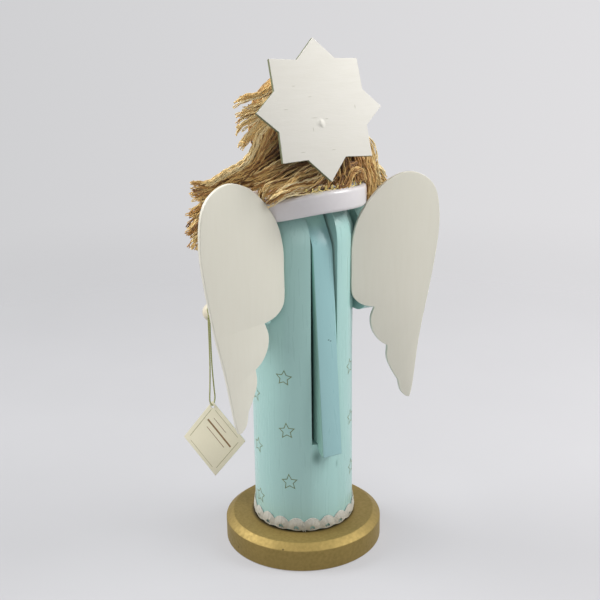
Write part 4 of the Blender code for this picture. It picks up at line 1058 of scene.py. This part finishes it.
def combed(route, count, start, end, shade, dice, wave=1.2, ragged=7.0, flat=0.7):
    """Middle lines of the yarns in one lock with their shade; start and end are its widths in mm."""
    guide = evenly(route, yarn_step)
    phase = dice.uniform(0.0, 2 * math.pi)
    lines = []
    for i in range(count):
        reach, spot = math.sqrt(dice.random()), dice.uniform(0.0, 2 * math.pi)
        aside, over_by = reach * math.cos(spot), reach * math.sin(spot) * flat
        last = len(guide) - int(dice.uniform(0.0, ragged) / yarn_step)
        lag = phase + dice.uniform(-0.7, 0.7)
        seed = Vector((dice.uniform(0, 90), dice.uniform(0, 90), dice.uniform(0, 90)))
        line = []
        for k in range(last):
            share = k / (len(guide) - 1)
            along = (guide[min(k + 1, len(guide) - 1)] - guide[max(k - 1, 0)]).normalized()
            across = along.cross(Vector((0.0, 1.0, 0.0))).normalized()
            over = across.cross(along)
            width = (start + (end - start) * share) / 2
            swing = wave * min(1.0, share * 3) * math.sin(k * yarn_step * 2 * math.pi / wave_length + lag)
            drift = noise.noise_vector(seed + Vector((k * yarn_step * 0.045, 0.0, 0.0))) * (0.4 + 1.6 * share)
            line.append(guide[k] + across * (aside * width + swing)
                        + over * (over_by * width + swing * 0.4) + drift)
        lines.append((line, shade))
    return lines


def yarn_piece(name, lines, dice, solid):
    """One curve object of all the yarns along the given middle lines, in mixed shades, for a solid."""
    strands, shades = [], []
    for line, shade in lines:
        wool_index = dice.choices(range(len(wools)), wool_shares[shade])[0]
        strands += spun(line, dice)
        shades += [wool_index, wool_index]
    made = thread_tube(name, strands, ply_radius, wools[0], 0)
    for material in wools[1:]:
        made.data.materials.append(material)
    for spline, wool_index in zip(made.data.splines, shades):
        spline.material_index = wool_index
    fitted(made, "figure", "yarn", solid)


hem_turns = (104.0, 112.0)                  # degrees round the cap at which its yarns end


def over_cap(side, front, back_to, dice, lift=0.0):
    """A yarn's middle line from the parting down one side, between two shares of the cap's depth."""
    hem = math.radians(dice.uniform(*hem_turns))
    points = []
    for i in range(13):
        turn = hem * i / 12
        ease = math.sin(min(turn, math.pi / 2)) ** 2
        depth = front + (back_to - front) * ease
        girth = math.sqrt(max(0.0, 1.0 - depth * depth))
        points.append(cap_middle + Vector((side * (cap_axes.x + lift) * girth * math.sin(turn),
                                           (cap_axes.y + lift) * depth,
                                           (cap_axes.z + lift) * girth * math.cos(turn))))
    line = evenly(points, yarn_step)
    seed = Vector((dice.uniform(0, 90), 0.0, side))
    return [point + noise.noise_vector(seed + Vector((0.0, k * 0.09, 0.0))) * 0.9
            for k, point in enumerate(line)]


noise.seed_set(4)
dice = random.Random(21)
cap_yarns = 46                              # on each side, in each of two layers
layer_rise = 0.7
cap_lines = []
for side in (1, -1):
    for layer in range(2):
        for i in range(cap_yarns):
            share = (i + 0.5 * layer + dice.uniform(-0.2, 0.2)) / cap_yarns
            parting, hanging = -0.82 + 1.78 * share, -0.56 + 1.54 * share   # from the brow to the nape
            cap_line = over_cap(side, parting, hanging, dice, layer_rise * (layer - 1))
            cap_lines.append((cap_line, "mixed" if share < 0.55 else "shaded"))
yarn_piece("yarn_cap", cap_lines, dice, "hair_cap")

# Each lock: its route in mm, its number of yarns, its width at the root and at the cut ends, and its shade
left_locks = (
    (((23.5, 22, 327.5), (31.5, 19, 323.5), (39.5, 14, 319.5), (49.5, 10, 315.5)), 10, 5, 6, "sunlit"),
    (((27.5, 22, 319), (35.5, 18, 315.5), (40.5, 14, 313), (45, 11, 310.5)), 8, 5, 5, "sunlit"),
    (((29.5, 21, 314), (37, 17, 311), (42, 13, 308), (48.5, 10, 304.5)), 9, 5, 5, "sunlit"),
    (((31, 20, 310.5), (39, 16, 307), (44, 12, 302), (48.5, 9, 294.5)), 10, 5, 5, "sunlit"),
    (((30.5, 19, 306), (37, 16, 301), (41, 13, 294.5), (45.5, 11, 286.5)), 9, 4, 5, "sunlit"),
    (((29.5, 19, 303.5), (35.5, 17, 297.5), (38, 16, 289), (44, 15, 282.5), (52.5, 14, 275.5),
      (64, 12, 270.5), (76, 11, 267.5)), 12, 4, 6, "sunlit"),
    (((11, 24, 302), (18.5, 23, 293), (25.5, 20, 284), (34.5, 17, 276), (46.5, 14, 270.5),
      (58, 12, 267.5), (70, 11, 265.5)), 24, 11, 7, "shaded"),
    (((19, 21, 305.5), (26, 19, 295.5), (32.5, 17, 286), (40.5, 15, 276.5), (54, 12, 270),
      (67.5, 11, 267), (80, 11, 266.5)), 24, 9, 7, "mixed"),
    (((26, 19, 302.5), (31, 18, 292.5), (37, 16, 281), (47, 13, 272), (61, 12, 265), (72.5, 11, 261),
      (80.5, 11, 259.5)), 20, 7, 7, "mixed"),
    (((26.5, 13, 300), (32.5, 13, 288), (40.5, 12, 276), (53.5, 12, 264.5), (65, 11, 257),
      (76, 11, 252.5), (85, 11, 249.5)), 20, 7, 8, "mixed"),
    (((27, 8, 297), (32.5, 10, 283.5), (44, 11, 269), (57.5, 11, 255), (68.5, 10, 246.5),
      (77.5, 10, 241), (84.5, 10, 235)), 17, 7, 8, "mixed"),
    (((27, 5, 294), (33.5, 8, 279.5), (47, 10, 263.5), (58, 10, 249), (68, 10, 238), (76, 10, 232.5),
      (80.5, 10, 226.5)), 15, 7, 7, "mixed"),
    (((26.5, 1, 298.5), (30, 2, 286), (44, 2, 271.5), (61.5, 3, 256), (73.5, 4, 246),
      (80.5, 5, 237.5)), 16, 6, 9, "mixed"),
    (((23, -3, 298), (27.5, -2, 283.5), (39.5, -1, 269), (55.5, 0, 254), (67.5, 2, 242),
      (74.5, 3, 230)), 15, 6, 9, "mixed"))
back_locks = (
    (((-0.5, 32, 288.5), (12.5, 32, 284.5), (22, 28, 279), (31.5, 22, 273.5), (41.5, 15, 269),
      (51.5, 9, 266.5)), 20, 7, 7, "mixed"),
    (((-8, 34, 284), (5.5, 34.5, 280.5), (17, 32, 276), (28, 26, 270.5), (39, 20, 265),
      (45, 17, 260.5)), 18, 7, 7, "mixed"),
    (((-8.5, 35.5, 279), (2.5, 37, 277.5), (15, 36, 273.5), (24.5, 31, 269), (34, 26, 264.5),
      (39, 24.5, 259.5), (40, 24, 255)), 18, 7, 6, "mixed"),
    (((-6.5, 36, 274.5), (6, 38, 273.5), (16.5, 37.5, 270), (24.5, 34, 265), (31.5, 30, 261.5),
      (37.5, 28, 257.5)), 18, 7, 6, "mixed"),
    (((-3.5, 34, 277.5), (0.5, 37, 272.5), (9, 38.5, 268.5), (19.5, 38, 266), (28, 35, 262.5),
      (35.5, 32, 258.5)), 15, 6, 5, "mixed"),
    (((-9.5, 36, 271), (1.5, 37.5, 267), (12.5, 38, 264), (23, 37.5, 262), (32.5, 35.5, 259.5),
      (40, 33, 256.5)), 16, 6, 5, "mixed"),
    (((-5, 33, 288), (-7, 35.5, 278), (-7.5, 37, 269.5), (-8, 37.5, 263)), 14, 8, 9, "shaded"),
    (((-13.5, 32, 287), (-15.5, 35, 278), (-15, 36.5, 269), (-15, 36.5, 262.5)), 14, 8, 9, "shaded"),
    (((-21.5, 28, 287), (-24.5, 30.5, 277.5), (-25.5, 31.5, 268.5), (-26, 32, 261.5)), 14, 8, 9, "shaded"),
    (((-28.5, 20, 287.5), (-32.5, 22, 277.5), (-35, 23, 267.5), (-35.5, 24, 259)), 14, 8, 8, "mixed"),
    (((-27, 30, 276.5), (-18, 34, 273.5), (-9.5, 37, 268.5), (-3.5, 38.5, 263)), 14, 7, 9, "shaded"),
    (((-18, 35, 270.5), (-14, 37, 266.5), (-10.5, 38.5, 262)), 10, 6, 8, "shaded"),
    (((-14.5, 25, 291), (-18, 27.5, 283), (-20.5, 30, 274.5), (-23.5, 31, 265.5)), 12, 6, 6, "shaded"))
right_locks = (
    (((-25.5, 20, 306.5), (-31.5, 21, 295), (-35.5, 22, 283), (-39.5, 21, 271.5), (-41.5, 21, 258.5),
      (-40.5, 21.5, 246)), 20, 9, 6, "mixed"),
    (((-27.5, 11, 303.5), (-36.5, 14, 292.5), (-44, 17, 282.5), (-47.5, 19, 271.5), (-48, 20, 259.5),
      (-46.5, 20, 248.5)), 15, 7, 6, "mixed"),
    (((-29, 5, 300.5), (-37, 7, 287.5), (-44.5, 10, 276.5), (-49.5, 13, 267), (-54.5, 14, 260),
      (-59.5, 14, 251.5)), 14, 7, 7, "mixed"),
    (((-33, 14, 281.5), (-42, 17, 272.5), (-49, 19, 268), (-54.5, 19, 264),
      (-58.5, 19, 258.5)), 7, 3, 4, "sunlit"),
    (((-28.5, 0, 299.5), (-37.5, 1, 286), (-46.5, 3, 274), (-53, 4, 261.5),
      (-54.5, 5, 248)), 16, 8, 8, "mixed"),
    (((-26.5, -4, 297), (-36, -3, 283), (-44, -1, 270.5), (-48.5, 1, 257),
      (-49.5, 2, 246)), 15, 7, 8, "shaded"))
gap_locks = (
    (((-8.5, 35, 275), (-3.5, 37.5, 270), (0.5, 38.5, 264.5), (5.5, 38.5, 261.5)), 12, 7, 8, "shaded"),
    (((-22, 35, 272.5), (-17, 37.5, 267), (-10.5, 39, 263), (-4, 39.5, 261.5)), 12, 6, 7, "shaded"))
curl_lock = ((-15, 38, 262), (-16.5, 38.5, 267), (-20, 37.5, 271), (-25, 35, 271), (-29, 32, 267.5),
             (-30, 31, 262))

for name, solid, locks in (("yarn_left", "hair_left", left_locks), ("yarn_back", "hair_back", back_locks),
                           ("yarn_right", "hair_right", right_locks)):
    lines = []
    for lock in locks:
        lines += combed(*lock, dice)
    if solid == "hair_back":
        lines += combed(curl_lock, 9, 4.5, 4.5, "mixed", dice, 0.2, 2.0)
    if solid == "hair_right":
        for lock in gap_locks:
            lines += combed(*lock, random.Random(4))
    yarn_piece(name, lines, dice, solid)

# Swing tag: a piece of cream card hung by a corner, with a thin printed border and plain rules. It hangs
# on a loop of olive thread, which goes through the card's hole and is tied to a loop round the left wrist.
tag_length = 46.0
tag_width = 38.0
tag_thickness = 0.6
ink_thickness = 0.06
tag_turn = math.radians(-63.0)
tag_hole_radius = 1.6
tag_hole_inset = 4.2
string_drop = 67.7
knot = Vector((50.4, -42.5, 161.4))
string_radius = 0.5
half_diagonal = math.hypot(tag_length, tag_width) / 2
tag_centre = knot - Vector((0.0, 0.0, string_drop + half_diagonal - tag_hole_inset))
tag_stand = (Matrix.Translation(tag_centre * mm) @ Matrix.Rotation(tag_turn, 4, "Z")
             @ Matrix.Rotation(math.radians(90), 4, "X"))
facing = Vector((-math.sin(tag_turn), math.cos(tag_turn), 0.0))
tag_hole = tag_centre + Vector((0.0, 0.0, half_diagonal - tag_hole_inset))

card = fibrous("tag_card", 600.0, 6.0, (tone(238, 233, 208), tone(226, 219, 192)), (0.25, 0.2),
               {"Roughness": 0.8}, 0.7, (45.0, tone(230, 223, 195)))
olive_ink = painted("olive_ink", tone(140, 136, 84), tone(160, 152, 104), 0.7, 0.9)
brown_ink = painted("brown_ink", tone(128, 100, 62), tone(150, 122, 84), 0.7, 0.9)

hung_by = Vector((0.0, half_diagonal))
down_long = Vector((tag_width, -tag_length)) / (2 * half_diagonal)      # along the card's long sides
down_short = Vector((-tag_length, -tag_width)) / (2 * half_diagonal)
card_corners = [hung_by, hung_by + down_long * tag_length, -hung_by, hung_by + down_short * tag_width]
bm = carved(eased(slab(card_corners, tag_thickness, tag_stand), 0.12, 60.0, 2),
            bar(tag_hole - facing * 5.0, tag_hole + facing * 5.0, tag_hole_radius, 40))
tag = piece("swing_tag", bm, card, 40.0)
fitted(tag, "tag", "card", "tag_card")


def printed(name, strips, material):
    """Thin strips of ink on the shown face: start and end in mm down the short and the long side, width."""
    bm = bmesh.new()
    for start, end, width in strips:
        (ax, ay), (bx, by) = (hung_by + down_short * short + down_long * far for short, far in (start, end))
        lay = Matrix.Translation(Vector(((ax + bx) / 2, (ay + by) / 2, -tag_thickness / 2 - 0.01)) * mm)
        slant = Matrix.Rotation(math.atan2(by - ay, bx - ax), 4, "Z")
        size = Matrix.Diagonal((math.hypot(bx - ax, by - ay) * mm, width * mm, ink_thickness * mm, 1.0))
        bmesh.ops.create_cube(bm, size=1.0, matrix=tag_stand @ lay @ slant @ size)
    fitted(piece(name, bm, material), "tag", "card")


border_inset = 3.4
border_gap = 6.0                        # from a corner to the end of each border line
border_line = 0.35
border_strips = []
for inset in (border_inset, tag_length - border_inset):
    border_strips.append(((border_gap, inset), (tag_width - border_gap, inset), border_line))
for inset in (border_inset, tag_width - border_inset):
    border_strips.append(((inset, border_gap), (inset, tag_length - border_gap), border_line))
printed("tag_border", border_strips, olive_ink)
rules = ((9.5, 9.0, 23.0, 0.5), (15.0, 6.0, 32.5, 1.7), (20.5, 9.0, 29.0, 0.6))     # down, start, end, width
printed("tag_rules", [((start, down), (end, down), width) for down, start, end, width in rules], brown_ink)

olive_thread, tree = fresh("olive_thread")
twist = {"Vector": own_place(tree, Rotation=(0.6, 0.6, 0.0)), "Scale": 260.0, "Distortion": 1.0}
ply = node(tree, "ShaderNodeTexWave", twist, bands_direction="Z").outputs["Fac"]
dress(tree, {"Base Color": mixed(tree, ply, tone(146, 148, 92), tone(192, 188, 126)), "Roughness": 0.6,
             "Normal": dented(tree, ply, 0.5, 0.2)})

# The thread's way down to the tag, as mm above its seat in the hole and mm to the side, and back up
seat = tag_hole + Vector((0.0, 0.0, tag_hole_radius - string_radius - 0.3))
strand = ((knot.z - seat.z, 0.8), (48.0, 0.8), (30.0, 1.1), (14.0, 2.2), (6.0, 2.9), (2.2, 2.1))
way_down = [seat + Vector((0.0, 0.0, rise)) + facing * aside for rise, aside in strand]
way_up = [seat + Vector((0.0, 0.0, rise)) - facing * aside for rise, aside in reversed(strand)]
string_route = [Vector(point) * mm for point in smooth_route([*way_down, seat, *way_up], 5)]
string = thread_tube("tag_string_loop", [string_route], string_radius, olive_thread, 2)
fitted(string, "tag", "olive_thread", "tag_string")

wrist_low, wrist_high = room("wrist_loop")
wrist_middle = Vector(((wrist_low.x + wrist_high.x) / 2, knot.y, hand_height))
wrist_loop_radius = wrist_radius + 0.3 + string_radius
turn_points = 36                        # in each of two turns
turn_pitch = 0.55
wrist_turns = []
for i in range(2 * turn_points + 1):
    turn = math.radians(-40 + 360 / turn_points * i)
    round_wrist = Vector((wrist_loop_radius * math.cos(turn), turn_pitch * (i / turn_points - 1),
                          wrist_loop_radius * math.sin(turn)))
    wrist_turns.append((wrist_middle + round_wrist) * mm)
wrist_loop = thread_tube("wrist_thread", [wrist_turns], string_radius * 0.9, olive_thread, 2)
fitted(wrist_loop, "figure", "olive_thread", "wrist_loop")

knot_points = 40
knot_middle = knot + Vector((-0.6, 0.0, 0.9))
bow = []
for i in range(knot_points + 1):
    turn = 2 * math.pi * i / knot_points
    curl = Vector((math.cos(2 * turn), 0.9 * math.sin(3 * turn), 0.9 * math.sin(2 * turn)))
    bow.append((knot_middle + curl) * mm)
fitted(thread_tube("thread_knot", [bow], string_radius * 0.8, olive_thread, 1), "figure", "olive_thread")
